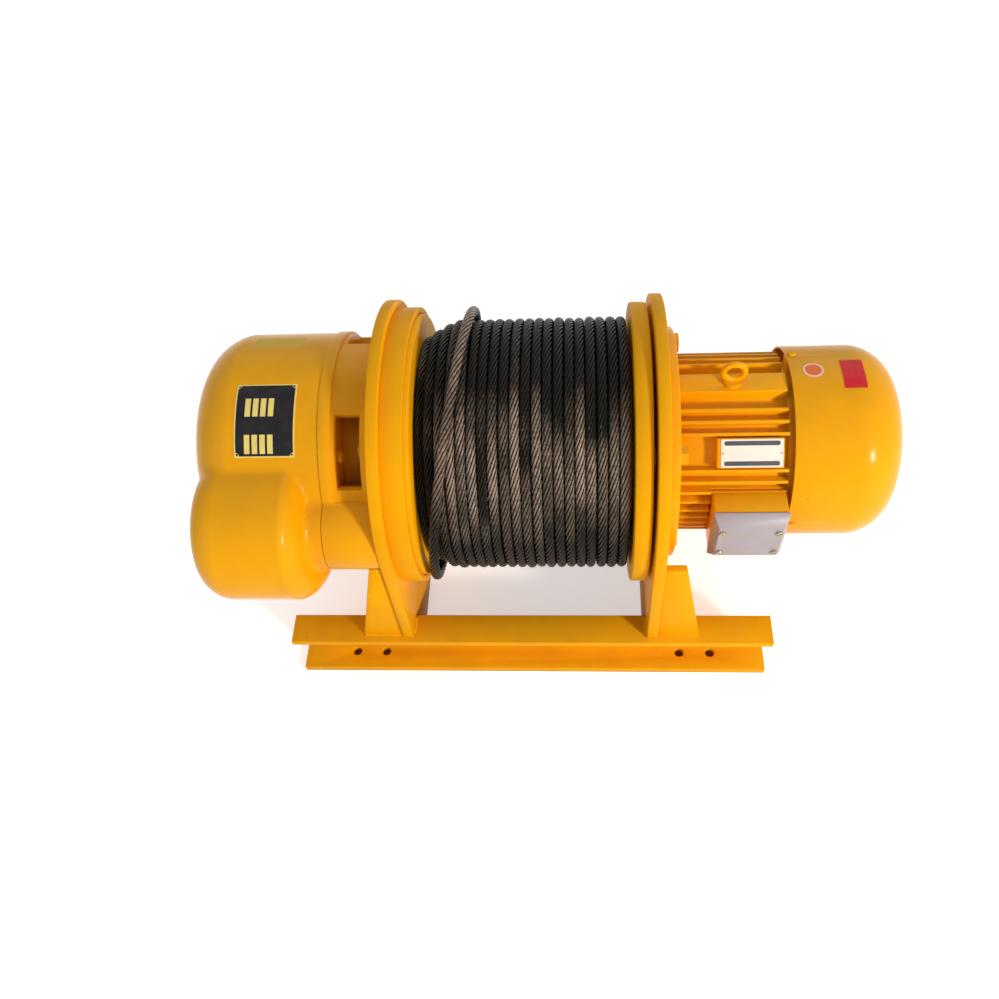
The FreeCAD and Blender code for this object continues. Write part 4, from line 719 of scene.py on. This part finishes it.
def stranded_rope(name, centres, outward, radius, lay, tone):
    """Eight-strand rope along a line of points: lobed section that twists once per lay.

    Two attributes go to its finish: crown is high on the strands' crowns that face outwards and falls off
    towards each turn's sides as painted shade, and tone says how far they are rubbed bare and how much
    painted shade and grease darken them.
    """
    strands, per_strand = 8, 5
    sides = strands * per_strand
    along = np.gradient(centres, axis=0)
    along /= np.linalg.norm(along, axis=1)[:, None]
    out = outward - (outward * along).sum(1)[:, None] * along
    out /= np.linalg.norm(out, axis=1)[:, None]
    across = np.cross(along, out)
    run = np.concatenate([[0.0], np.cumsum(np.linalg.norm(np.diff(centres, axis=0), axis=1))])
    phase = 2.0 * math.pi * run / lay
    strand_r, ring_r = radius * 0.30, radius * 0.70
    turns = 2.0 * math.pi * (np.arange(sides) + 0.5) / sides
    lobe = (turns * strands / (2.0 * math.pi) + 0.5) % 1.0 - 0.5
    angle = lobe * 2.0 * math.pi / strands
    reach = ring_r * np.cos(angle) + np.sqrt(np.maximum(strand_r ** 2 - (ring_r * np.sin(angle)) ** 2, 0.0))
    crown = np.clip((reach - reach.min()) / (reach.max() - reach.min()), 0.0, 1.0)
    spin = turns[None, :] + phase[:, None]
    verts = (centres[:, None, :] + reach[None, :, None] * (
        np.cos(spin)[:, :, None] * out[:, None, :] + np.sin(spin)[:, :, None] * across[:, None, :]))
    count = len(centres)
    index = np.arange(count * sides).reshape(count, sides)
    nxt = np.roll(index, -1, axis=1)
    quads = np.stack([index[:-1], nxt[:-1], nxt[1:], index[1:]], axis=-1).reshape(-1, 4)
    faces = [tuple(int(i) for i in q) for q in quads]
    faces.append(tuple(int(i) for i in index[0][::-1]))
    faces.append(tuple(int(i) for i in index[-1]))
    obj = piece(name, verts.reshape(-1, 3), faces, "rope", "drum", 75.0)
    # painted shade: the crowns darken towards each turn's sides, where the turns shade each other
    facing = np.clip((np.cos(spin) + 0.10) / 0.85, 0.0, 1.0)
    height = (crown[None, :] * (0.15 + 0.85 * facing)).ravel()
    for label, values in (("crown", height), ("tone", np.repeat(tone, sides))):
        layer = obj.data.attributes.new(label, "FLOAT", "POINT")
        layer.data.foreach_set("value", values.astype(np.float32))
    return obj


class WINCH_OT_rope(bpy.types.Operator):
    """Wound wire rope: the outer layer, the layer below it and the last turn that crosses over"""
    bl_idname = "winch.rope"
    bl_label = "Wire rope"
    RIM_GAP = 4.0 * MM        # dark gap between the first turn and the motor-side rim
    START = 250.0             # degrees round the drum where a layer begins, out of sight
    CROSSING = 0.14           # share of a turn in which the rope steps over to its next place
    END_DIVE = 6.0 * MM       # how far a layer's two ends dip into the pack
    UNDER = 0.86              # depth of the layer below, in pitches
    LOW_TURNS, LOW_STEP = 3.0, 6.0 * MM     # last turns of the outer layer, and how much each sinks

    def wound(self, name, x_start, turns, pitch, radius, steps, seed, sizes, low_turns=0, low_step=0.0):
        """Turns side by side from the motor side.

        Each lies square to the drum and crosses over at the back. The last low_turns sink by low_step each.
        """
        rng = random.Random(seed)
        count = int(turns * steps)
        part = np.arange(count) / steps
        whole = np.floor(part)
        cross = np.clip((part - whole - (1.0 - self.CROSSING)) / self.CROSSING, 0.0, 1.0)
        knots = max(4, int(turns * 5))
        drift = smooth_noise(count, int(turns), 0.55 * MM, rng) + smooth_noise(count, knots, 0.35 * MM, rng)
        x = x_start - pitch * (whole + 0.5 - 0.5 * np.cos(cross * math.pi)) + drift
        drop = np.clip(part - (turns - low_turns), 0.0, None) * low_step if low_turns else 0.0
        ends = np.clip(1.0 - np.minimum(part, turns - part) / 0.10, 0.0, 1.0)
        r = radius - drop - self.END_DIVE * ends ** 2
        r = r + smooth_noise(count, int(turns), 0.6 * MM, rng) + smooth_noise(count, knots, 0.35 * MM, rng)
        degrees = self.START + 360.0 * part
        angle = np.radians(degrees)
        centres = np.column_stack([x, -r * np.cos(angle), AXIS_Z + r * np.sin(angle)])
        outward = np.column_stack([np.zeros(count), -np.cos(angle), np.sin(angle)])
        per_turn = np.array([rng.uniform(0.22, 0.88) for _ in range(int(turns) + 2)])
        tone = per_turn[whole.astype(int)] + 0.3 * np.clip((-95.0 * MM - x) / (20.0 * MM), 0.0, 1.0)
        tone = tone + smooth_noise(count, 2 * knots, 0.45, rng) + smooth_noise(count, 6 * knots, 0.25, rng)
        tone = np.clip(tone * self.clean_and_lit_share(x, degrees), 0.0, 1.0)
        return stranded_rope(name, centres, outward, 0.5 * sizes.rope_diameter, sizes.rope_lay, tone)

    def clean_and_lit_share(self, x, degrees):
        """What grease and painted shade leave of the tone: grease on the gear side, both on top and
        underneath.
        """
        lift = (degrees + 90.0) % 360.0 - 90.0
        gear_side = np.clip((-45.0 * MM - x) / (30.0 * MM), 0.0, 1.0)
        grease = gear_side * np.clip(0.6 - np.sin(np.radians(degrees)), 0.0, 1.0)
        # grease with painted shade: darker on top and underneath, lightest in the band that faces the key
        # lamp
        top_grease_and_shade = np.clip((lift - 52.0) / 26.0, 0.0, 1.0) * np.clip((x + 105.0 * MM) / (20.0 * MM), 0.0, 1.0)
        run = np.clip((34.0 - lift) / 34.0, 0.0, 1.0) + top_grease_and_shade
        return (1.0 - 0.8 * grease) * (1.0 - 0.84 * run)

    def last_turn(self, sizes):
        """Turn that slants over the outer layer and dives back into the pack at both ends."""
        rng = random.Random(77)
        half = 0.5 * sizes.rope_diameter
        degrees = np.linspace(-96.0, 182.0, 190)
        angle = np.radians(degrees)
        low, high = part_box("rope_last_turn")
        middle, lean = 0.5 * (low.x + high.x), 0.5 * (high.x - low.x) - half
        x = middle + lean * np.cos(angle - math.radians(130.0))
        over = np.interp(degrees, (-96, -72, -38, -7, 37, 98, 122, 146, 164, 182),
                         (-12.0, -3.0, 8.5, 6.6, 5.4, 6.0, 8.0, 10.0, 2.0, -9.0))
        soft = 13
        over = np.convolve(np.pad(over, soft // 2, mode="edge"), np.ones(soft) / soft, mode="valid")
        r = sizes.rope_crown + over * MM
        centres = np.column_stack([x, -r * np.cos(angle), AXIS_Z + r * np.sin(angle)])
        outward = np.column_stack([np.zeros(len(x)), -np.cos(angle), np.sin(angle)])
        # painted shade: the last turn is darker below 46 degrees round the drum
        tone = 0.72 + smooth_noise(len(x), 14, 0.3, rng) - 0.6 * np.clip((46.0 - degrees) / 26.0, 0.0, 1.0)
        tone = np.clip(tone, 0.0, 1.0)
        return stranded_rope("wound_rope_last_turn", centres, outward, half, sizes.rope_lay, tone)

    def execute(self, context):
        sizes = context.scene.winch_sizes
        half = 0.5 * sizes.rope_diameter
        outer = sizes.rope_crown - half
        low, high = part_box("rope_pack")
        turns = round((high.x - low.x) / sizes.rope_diameter)
        pitch = (high.x - self.RIM_GAP - low.x) / turns
        first = high.x - self.RIM_GAP - 0.5 * pitch
        pack = self.wound(
            "wound_rope", first, turns, pitch, outer, 150, 23, sizes, self.LOW_TURNS, self.LOW_STEP)
        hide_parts("rope_pack")
        self.wound("wound_rope_under", first - 0.5 * pitch, turns - 3, pitch, outer - self.UNDER * pitch,
                   60, 10, sizes)
        last = self.last_turn(sizes)
        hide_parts("rope_last_turn")
        return {"FINISHED"}


class WINCH_OT_motor(bpy.types.Operator):
    """Motor: flange, finned frame, rear shield and fan cover with rounded edges"""
    bl_idname = "winch.motor"
    bl_label = "Motor"
    FIN_ROUND = 0.5 * MM
    SHEET_ROUND = 0.3 * MM

    def execute(self, context):
        sizes = context.scene.winch_sizes
        for node, width in (("motor_end_shield", sizes.edge_round), ("motor_frame", self.FIN_ROUND),
                            ("rear_end_shield", sizes.edge_round)):
            rounded(node, "cast_" + node, width, "casting", "frame")
        rounded("fan_cover", "pressed_fan_cover", self.SHEET_ROUND, "casting", "frame")
        return {"FINISHED"}


class WINCH_OT_terminal_box(bpy.types.Operator):
    """Terminal box with its cast lid and slotted screws"""
    bl_idname = "winch.terminal_box"
    bl_label = "Terminal box"
    LID_ROUND = 1.0 * MM
    HEAD_R = 3.4 * MM         # screw heads
    HEAD_DEPTH = 2.4 * MM
    HEAD_CHAMFER = 0.4 * MM
    SLOT_HALF = 0.55 * MM     # half the width of the sawn slots
    SLOT_DEPTH = 1.2 * MM
    HALF_STEPS = 14           # straight pieces of half a head's rim

    def screw_places(self, node):
        """Middles (x, z) of the separate screws in one CAD node."""
        work = bmesh.new()
        work.from_mesh(frame["nodes"][node].data)
        bmesh.ops.remove_doubles(work, verts=work.verts, dist=SAME_SPOT)
        left, middles = set(work.verts), []
        while left:
            group, edge = set(), [left.pop()]
            while edge:
                vert = edge.pop()
                group.add(vert)
                edge += [e.other_vert(vert) for e in vert.link_edges if e.other_vert(vert) in left]
                left.difference_update(edge)
            xs, zs = [v.co.x for v in group], [v.co.z for v in group]
            middles.append((0.5 * (min(xs) + max(xs)), 0.5 * (min(zs) + max(zs))))
        work.free()
        return sorted(middles)

    def slotted_screws(self, node):
        """Cheese-head screws with sawn slots, one where each CAD screw is, heads to the front."""
        rng = random.Random(31)
        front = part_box(node)[0].y
        verts, faces = [], []

        def prism(outline, levels):
            """Closed prism whose rings are (distance behind the head's face, size) of one outline."""
            base, count = len(verts), len(outline)
            cx = sum(p[0] for p in outline) / count
            cz = sum(p[1] for p in outline) / count
            for behind, size in levels:
                for px, pz in outline:
                    verts.append((cx + size * (px - cx), front + behind, cz + size * (pz - cz)))
            for row in range(len(levels) - 1):
                for k in range(count):
                    a, b = base + row * count + k, base + row * count + (k + 1) % count
                    faces.append((a, b, b + count, a + count))
            faces.append(tuple(range(base + count - 1, base - 1, -1)))
            faces.append(tuple(range(base + (len(levels) - 1) * count, base + len(levels) * count)))

        radius, steps = self.HEAD_R, self.HALF_STEPS
        start = math.asin(self.SLOT_HALF / radius)
        for x, z in self.screw_places(node):
            turn = rng.uniform(0.0, math.pi)
            across = Vector((math.cos(turn), math.sin(turn)))
            along = Vector((-across.y, across.x))
            ring = [(x + radius * math.cos(math.pi * k / steps), z + radius * math.sin(math.pi * k / steps))
                    for k in range(2 * steps)]
            prism(ring, ((self.SLOT_DEPTH, 1.0), (self.HEAD_DEPTH, 1.0)))
            for sign in (1.0, -1.0):
                half = []
                for k in range(steps + 1):
                    swing = start + (math.pi - 2.0 * start) * k / steps
                    spot = sign * (radius * math.cos(swing) * along + radius * math.sin(swing) * across)
                    half.append((x + spot.x, z + spot.y))
                prism(half, ((0.0, 0.86), (self.HEAD_CHAMFER, 1.0), (self.SLOT_DEPTH, 1.0)))
        screws = piece("slotted_lid_screws", verts, faces, "zinc", "frame")
        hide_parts(node)

    def execute(self, context):
        sizes = context.scene.winch_sizes
        rounded("terminal_box", "cast_terminal_box", sizes.cast_round, "casting", "frame")
        rounded("terminal_box_lid", "cast_terminal_box_lid", self.LID_ROUND, "lid", "frame", 3)
        self.slotted_screws("terminal_box_screws")
        return {"FINISHED"}


def wrapped(middle_x, degrees, reach):
    """Laying on a turned skin: u runs along the axis, v upwards round it and w outwards."""
    def lay(u, v, w):
        turn = math.radians(degrees) + v / reach(middle_x)
        r = reach(middle_x + u) + w
        return Vector((middle_x + u, -r * math.cos(turn), AXIS_Z + r * math.sin(turn)))
    return lay


def flat(middle_x, degrees, distance):
    """Laying on a flat pad that faces outwards at an angle round the axis."""
    turn = math.radians(degrees)
    out = Vector((0.0, -math.cos(turn), math.sin(turn)))
    up = Vector((0.0, math.sin(turn), math.cos(turn)))
    middle = Vector((middle_x, 0.0, AXIS_Z)) + distance * out

    def lay(u, v, w):
        return middle + Vector((u, 0.0, 0.0)) + v * up + w * out
    return lay


def cut_corners(half_u, half_v, corner, hollow=False):
    """Outline of a plate with its corners rounded off, or cut back to hollow quarter circles."""
    outline = []
    inset = 0.0 if hollow else corner
    steps = 5
    for su, sv, start in ((1, 1, 0), (-1, 1, 90), (-1, -1, 180), (1, -1, 270)):
        for step in range(steps + 1):
            part = 90.0 * step / steps
            swing = math.radians(start + 270.0 - part if hollow else start + part)
            outline.append((su * (half_u - inset) + corner * math.cos(swing),
                            sv * (half_v - inset) + corner * math.sin(swing)))
    return outline


def round_disc(radius, steps=40):
    """Outline of a round label."""
    turns = [2.0 * math.pi * k / steps for k in range(steps)]
    return [(radius * math.cos(turn), radius * math.sin(turn)) for turn in turns]


def thin_plate(name, outline, lay, low, thick, finish, shift=(0.0, 0.0)):
    """Thin plate of an outline, cut into cells so that it bends, laid on a surface from the height low."""
    work = bmesh.new()
    work.faces.new([work.verts.new((u + shift[0], v + shift[1], 0.0)) for u, v in outline])
    cell = 2.5 * MM
    for axis in (0, 1):
        reach = [vert.co[axis] for vert in work.verts]
        for level in np.arange(min(reach) + 0.97 * cell, max(reach), cell):
            spot, way = [0.0, 0.0, 0.0], [0.0, 0.0, 0.0]
            spot[axis], way[axis] = float(level), 1.0
            bmesh.ops.bisect_plane(
                work, geom=work.verts[:] + work.edges[:] + work.faces[:], plane_co=spot, plane_no=way)
    raised = bmesh.ops.extrude_face_region(work, geom=work.faces[:])
    for vert in (g for g in raised["geom"] if isinstance(g, bmesh.types.BMVert)):
        vert.co.z += thick
    bmesh.ops.recalc_face_normals(work, faces=work.faces)
    for vert in work.verts:
        vert.co = lay(vert.co.x, vert.co.y, low + vert.co.z)
    return settle(from_work(name, work), finish, "frame")


def low_domes(name, spots, finish):
    """Rivet heads or sags of paint in one piece; each spot is (laying, u, v, half u, half v, height, low)."""
    verts, faces = [], []
    rows, sides = 4, 14
    for lay, u, v, half_u, half_v, height, low in spots:
        base = len(verts)
        for row in range(rows):
            lift = 0.5 * math.pi * row / rows
            for k in range(sides):
                turn = 2.0 * math.pi * k / sides
                verts.append(lay(u + half_u * math.cos(lift) * math.cos(turn),
                                 v + half_v * math.cos(lift) * math.sin(turn), low + height * math.sin(lift)))
        verts.append(lay(u, v, low + height))
        for row in range(rows - 1):
            for k in range(sides):
                a, b = base + row * sides + k, base + row * sides + (k + 1) % sides
                faces.append((a, b, b + sides, a + sides))
        top = base + (rows - 1) * sides
        faces += [(top + k, top + (k + 1) % sides, base + rows * sides) for k in range(sides)]
        faces.append(tuple(range(base + sides - 1, base - 1, -1)))
    return piece(name, verts, faces, finish, "frame", 60.0)


class WINCH_OT_plates(bpy.types.Operator):
    """Bare nameplates and labels on the gear cover and the motor"""
    bl_idname = "winch.plates"
    bl_label = "Plates and labels"
    INK = 0.06 * MM           # printed or anodised layer, just proud of its plate
    FOIL = 0.15 * MM
    SEAT = 0.1 * MM           # how deep a plate is pressed onto its skin
    FOIL_SEAT = 0.05 * MM
    RIM = 1.5 * MM            # pale rim of the black plate
    RIVET_INSET = 3.0 * MM
    BEND = 64.3 * MM          # length of the fan cover's domed end

    def gearbox_plate(self, thick):
        """Black plate with a pale rim, hollow corners for the rivets and bare pale fields."""
        half_u, half_v = 31.2 * MM, 38.6 * MM
        lay = wrapped(-254.8 * MM, 65.0, lambda x: CoverShape.RADIUS * MM)
        outer = cut_corners(half_u, half_v, 1.2 * MM)
        thin_plate("gearbox_plate", outer, lay, -self.SEAT, thick, "plate_field")
        inner = cut_corners(half_u - self.RIM, half_v - self.RIM, 3.6 * MM, True)
        top = thick - self.SEAT
        thin_plate("gearbox_plate_black", inner, lay, top, self.INK, "plate_black")
        field = cut_corners(2.8 * MM, 9.6 * MM, 0.3 * MM)
        for row, v in enumerate((0.665, 0.175)):
            for column in range(4):
                spot = (-half_u + (0.215 + 0.128 * column) * 2.0 * half_u, -half_v + v * 2.0 * half_v)
                thin_plate(f"gearbox_plate_field_{row}{column}", field, lay, top + self.INK, self.INK,
                           "plate_field", spot)
        corner_u, corner_v = half_u - self.RIVET_INSET, half_v - self.RIVET_INSET
        low_domes("gearbox_plate_rivets", [
            (lay, su * corner_u, sv * corner_v, 1.2 * MM, 1.2 * MM, 0.8 * MM, top)
            for su in (-1, 1) for sv in (-1, 1)], "dark_zinc")
        old = wrapped(-256.5 * MM, 114.5, lambda x: CoverShape.RADIUS * MM)
        thin_plate("faded_foil", cut_corners(26.5 * MM, 12.7 * MM, 1.0 * MM), old, -self.FOIL_SEAT, self.FOIL,
                   "label_olive")

    def motor_plate(self, thick):
        """Bright plate with two dark bars on the frame's flat pad."""
        half_u, half_v = 30.4 * MM, 14.2 * MM
        lay = flat(232.2 * MM, 45.0, 98.0 * MM)
        thin_plate("motor_plate", cut_corners(half_u, half_v, 1.0 * MM), lay, -self.SEAT, thick, "plate_pale")
        top = thick - self.SEAT
        bar = cut_corners(27.4 * MM, 2.3 * MM, 1.8 * MM)
        for name, v in (("high", 10.2 * MM), ("low", -10.2 * MM)):
            thin_plate("motor_plate_bar_" + name, bar, lay, top, self.INK, "plate_grey", (0.0, v))
        low_domes("motor_plate_rivets", [
            (lay, su * 28.6 * MM, 0.0, 1.1 * MM, 1.1 * MM, 0.7 * MM, top) for su in (-1, 1)],
            "zinc")

    def fan_cover_labels(self):
        """Round label and red label on the fan cover, bent to its skin."""
        low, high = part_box("fan_cover")
        tip, radius, dome = high.x, high.z - AXIS_Z, self.BEND
        shoulder = (tip - dome, radius)
        bend = [(low.x, radius), shoulder] + arc_points(
            shoulder, (tip - 0.492 * dome, 0.925 * radius), (tip - 0.186 * dome, 0.67 * radius), 24)
        along, out = [p[0] for p in bend], [p[1] for p in bend]

        def reach(x):
            return float(np.interp(x, along, out))
        lay = wrapped(296.8 * MM, 96.2, reach)
        thin_plate("round_label_rim", round_disc(10.3 * MM), lay, -self.FOIL_SEAT, self.FOIL, "label_pale")
        thin_plate("round_label", round_disc(8.2 * MM), lay, 0.10 * MM, 0.05 * MM, "label_orange")
        lay = wrapped(335.5 * MM, 93.4, reach)
        thin_plate("red_label", cut_corners(11.0 * MM, 19.6 * MM, 0.8 * MM), lay, -self.FOIL_SEAT, 0.2 * MM,
                   "label_red")

    def execute(self, context):
        thick = context.scene.winch_sizes.plate_thickness
        self.gearbox_plate(thick)
        self.motor_plate(thick)
        self.fan_cover_labels()
        return {"FINISHED"}


class WINCH_OT_paint_sags(bpy.types.Operator):
    """Sags and beads that the spray gun left along the gearbox joint"""
    bl_idname = "winch.paint_sags"
    bl_label = "Paint sags"

    def execute(self, context):
        rng = random.Random(19)
        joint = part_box("gear_cover")[1].x
        spots = []
        for degrees in np.arange(-20.0, 200.0, 4.6):
            lay = wrapped(joint, float(degrees) + rng.uniform(-1.5, 1.5), lambda x: CoverShape.RADIUS * MM)
            if math.cos(math.radians(float(degrees) - 4.0)) > 0.93:
                continue
            half_v = rng.choice((3.0, 4.5, 6.0, 9.0)) * MM
            spots.append((lay, rng.uniform(-0.8, 0.8) * MM, 0.0, rng.uniform(1.1, 1.9) * MM, half_v,
                          rng.uniform(0.25, 0.6) * MM, -0.15 * MM))
        low_domes("joint_paint_sags", spots, "casting")
        return {"FINISHED"}


# finish of each material slot, for the CAD pieces that no new piece stands for
KEPT_FINISHES = {
    "painted_steel": "steelwork", "painted_casting": "casting", "fastener_steel": "zinc",
    "bearing_steel": "bearing", "cast_lid": "lid", "core_steel": "core", "winding_copper": "copper",
    "terminal_plastic": "plastic", "greased_rope": "rope", "gear_steel": "gear",
    "brake_lining": "lining", "fan_plastic": "fan",
}

# fasteners that were sprayed together with what they hold
PAINTED_OVER = {
    "eye_bolt", "motor_flange_bolts", "gear_case_bolts", "gear_cover_screws", "fan_cover_screws",
}


class WINCH_OT_kept_pieces(bpy.types.Operator):
    """Finishes for the CAD pieces that are shown as they are"""
    bl_idname = "winch.kept_pieces"
    bl_label = "Kept pieces"

    def execute(self, context):
        slots = {part["node"]: part["material_slot"] for part in frame["record"]["subparts"]}
        for name, node in frame["nodes"].items():
            finish = "casting" if name in PAINTED_OVER else KEPT_FINISHES[slots[name]]
            node.data.materials.clear()
            node.data.materials.append(finishes()[finish])
        return {"FINISHED"}


def soft_lamp(name, place, target, width, watts, hex_colour):
    """Square soft lamp that looks at a target."""
    data = bpy.data.lights.new(name, "AREA")
    data.shape = "RECTANGLE"
    data.size = width
    data.size_y = width
    data.energy = watts
    data.color = linear(hex_colour)[:3]
    lamp = linked(name, data)
    lamp.location = place
    lamp.rotation_euler = (Vector(target) - lamp.location).to_track_quat("-Z", "Y").to_euler()


def seen_share(tree):
    """Socket that is 1 for what the camera sees, also in a mirror or through glass, and 0 for other light."""
    path = add_node(tree, "ShaderNodeLightPath")
    seen = add_node(tree, "ShaderNodeMath", {
        0: path.outputs["Is Camera Ray"], 1: path.outputs["Is Glossy Ray"]}, operation="MAXIMUM")
    seen = add_node(tree, "ShaderNodeMath", {
        0: seen.outputs["Value"], 1: path.outputs["Is Transmission Ray"]}, operation="MAXIMUM")
    return seen.outputs["Value"]


class WINCH_OT_stage(bpy.types.Operator):
    """Pale floor, soft lamps, white surroundings and the camera"""
    bl_idname = "winch.stage"
    bl_label = "Stage"
    FLOOR_HALF = 6.0
    FLOOR_DROP = 0.4 * MM     # the floor lies this far below the rails
    FLOOR_GLOW = 0.50
    SKY_LIGHT = 0.46          # light that the surroundings give, where they aren't seen
    MIDDLE = (0.0, 0.0, 0.2)  # what the lamps look at
    LAMPS = (                 # name, place, width in metres, watts, colour
        ("key_lamp", (1.6, -1.6, 1.2), 0.3, 43.0, "#FFF1E0"),
        ("fill_lamp", (-1.5, -1.0, 0.9), 1.2, 4.0, "#EEF2FF"),
        ("back_lamp", (0.2, 1.6, 1.4), 1.4, 6.0, "#F4F6FF"),
    )
    LENS, SENSOR = 34.89, 36.0
    CAMERA_PLACE = (0.0616, -0.6593, 1.0880)
    CAMERA_RIGHT = (0.99650, 0.04011, -0.07332)
    CAMERA_UP = (0.00832, 0.82536, 0.56454)
    CAMERA_BACK = (0.08316, -0.56317, 0.82214)

    def floor_paint(self):
        """Matt white floor paint. To the eye: an even white, and painted shade under the rails for the foot
        holes.
        """
        material, tree, shader, place = new_material("Matt white floor paint")
        shader.inputs["Roughness"].default_value = 0.9
        low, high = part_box("front_rail")
        spot = add_node(tree, "ShaderNodeSeparateXYZ", {0: place})
        along = add_node(tree, "ShaderNodeMath", {0: spot.outputs["X"]}, operation="ABSOLUTE")
        aside = add_node(tree, "ShaderNodeMath", {0: spot.outputs["Y"]}, operation="ABSOLUTE")
        within, beyond, before = [
            add_node(tree, "ShaderNodeMath", {0: way.outputs["Value"], 1: limit}, operation=test)
            for way, limit, test in ((along, high.x, "LESS_THAN"), (aside, -high.y, "GREATER_THAN"),
                                     (aside, -low.y, "LESS_THAN"))]
        band = add_node(tree, "ShaderNodeMath", {
            0: beyond.outputs["Value"], 1: before.outputs["Value"]}, operation="MULTIPLY")
        under = add_node(tree, "ShaderNodeMath", {
            0: band.outputs["Value"], 1: within.outputs["Value"]}, operation="MULTIPLY")
        # painted shade: dark brown and without glow under the rails, so that the foot holes show dark
        paint = add_node(tree, "ShaderNodeMix", {
            0: under.outputs["Value"], 6: linear("#F4F4F4"), 7: linear("#6B4A26")}, data_type="RGBA")
        tree.links.new(paint.outputs[2], shader.inputs["Base Color"])
        open_floor = add_node(tree, "ShaderNodeMath", {
            0: seen_share(tree), 1: under.outputs["Value"]}, operation="SUBTRACT", use_clamp=True)
        glow = add_node(tree, "ShaderNodeMath", {
            0: open_floor.outputs["Value"], 1: self.FLOOR_GLOW}, operation="MULTIPLY")
        shader.inputs["Emission Color"].default_value = linear("#FFFFFF")
        tree.links.new(glow.outputs["Value"], shader.inputs["Emission Strength"])
        return material

    def studio_floor(self):
        """Wide flat floor, just below the rails."""
        work = bmesh.new()
        bmesh.ops.create_grid(work, x_segments=8, y_segments=8, size=self.FLOOR_HALF)
        floor = from_work("studio_floor", work)
        floor.location.z = -self.FLOOR_DROP
        floor.data.materials.append(self.floor_paint())

    def surroundings(self, scene):
        """White all round where it is seen, and a softer light where it isn't."""
        scene.world = bpy.data.worlds.new("White surroundings")
        scene.world.use_nodes = True
        tree = scene.world.node_tree
        tree.nodes.clear()
        level = add_node(tree, "ShaderNodeMapRange", {
            "Value": seen_share(tree), "To Min": self.SKY_LIGHT, "To Max": 1.0})
        sky = add_node(tree, "ShaderNodeBackground", {
            "Color": linear("#FFFFFF"), "Strength": level.outputs["Result"]})
        add_node(tree, "ShaderNodeOutputWorld", {"Surface": sky.outputs["Background"]})

    def photo_camera(self, scene):
        """Camera where the photograph was taken from."""
        data = bpy.data.cameras.new("photo_camera")
        data.lens = self.LENS
        data.sensor_width = self.SENSOR
        camera = linked("photo_camera", data)
        columns = (self.CAMERA_RIGHT, self.CAMERA_UP, self.CAMERA_BACK, self.CAMERA_PLACE)
        camera.matrix_world = Matrix([*zip(*columns), (0.0, 0.0, 0.0, 1.0)])
        scene.camera = camera

    def execute(self, context):
        scene = context.scene
        scene.view_settings.view_transform = "Standard"
        self.studio_floor()
        self.surroundings(scene)
        for name, place, width, watts, hex_colour in self.LAMPS:
            soft_lamp(name, place, self.MIDDLE, width, watts, hex_colour)
        self.photo_camera(scene)
        return {"FINISHED"}


class WINCH_PT_panel(bpy.types.Panel):
    """Lists the winch's sizes, colours and pieces"""
    bl_idname = "WINCH_PT_panel"
    bl_label = "Winch"
    bl_space_type = "VIEW_3D"
    bl_region_type = "UI"
    bl_category = "Winch"

    def draw(self, context):
        for group in (context.scene.winch_sizes, context.scene.winch_colours):
            for name in group.__annotations__:
                self.layout.prop(group, name)
        for operator in OPERATORS:
            self.layout.operator(operator.bl_idname)


OPERATORS = (
    WINCH_OT_stage, WINCH_OT_kept_pieces, WINCH_OT_base_frame, WINCH_OT_gearbox, WINCH_OT_drum,
    WINCH_OT_rope, WINCH_OT_motor, WINCH_OT_terminal_box, WINCH_OT_plates, WINCH_OT_paint_sags,
)
CLASSES = (WinchSizes, WinchColours) + OPERATORS + (WINCH_PT_panel,)


def register():
    """Registers the classes and hangs the sizes and colours on the scene."""
    for cls in CLASSES:
        bpy.utils.register_class(cls)
    bpy.types.Scene.winch_sizes = bpy.props.PointerProperty(type=WinchSizes)
    bpy.types.Scene.winch_colours = bpy.props.PointerProperty(type=WinchColours)


def unregister():
    """Takes back what register did."""
    del bpy.types.Scene.winch_colours
    del bpy.types.Scene.winch_sizes
    for cls in reversed(CLASSES):
        bpy.utils.unregister_class(cls)


def main():
    """Builds the dressed winch."""
    register()
    for operator in OPERATORS:
        group, name = operator.bl_idname.split(".")
        getattr(getattr(bpy.ops, group), name)()
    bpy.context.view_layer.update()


if __name__ == "__main__":
    main()
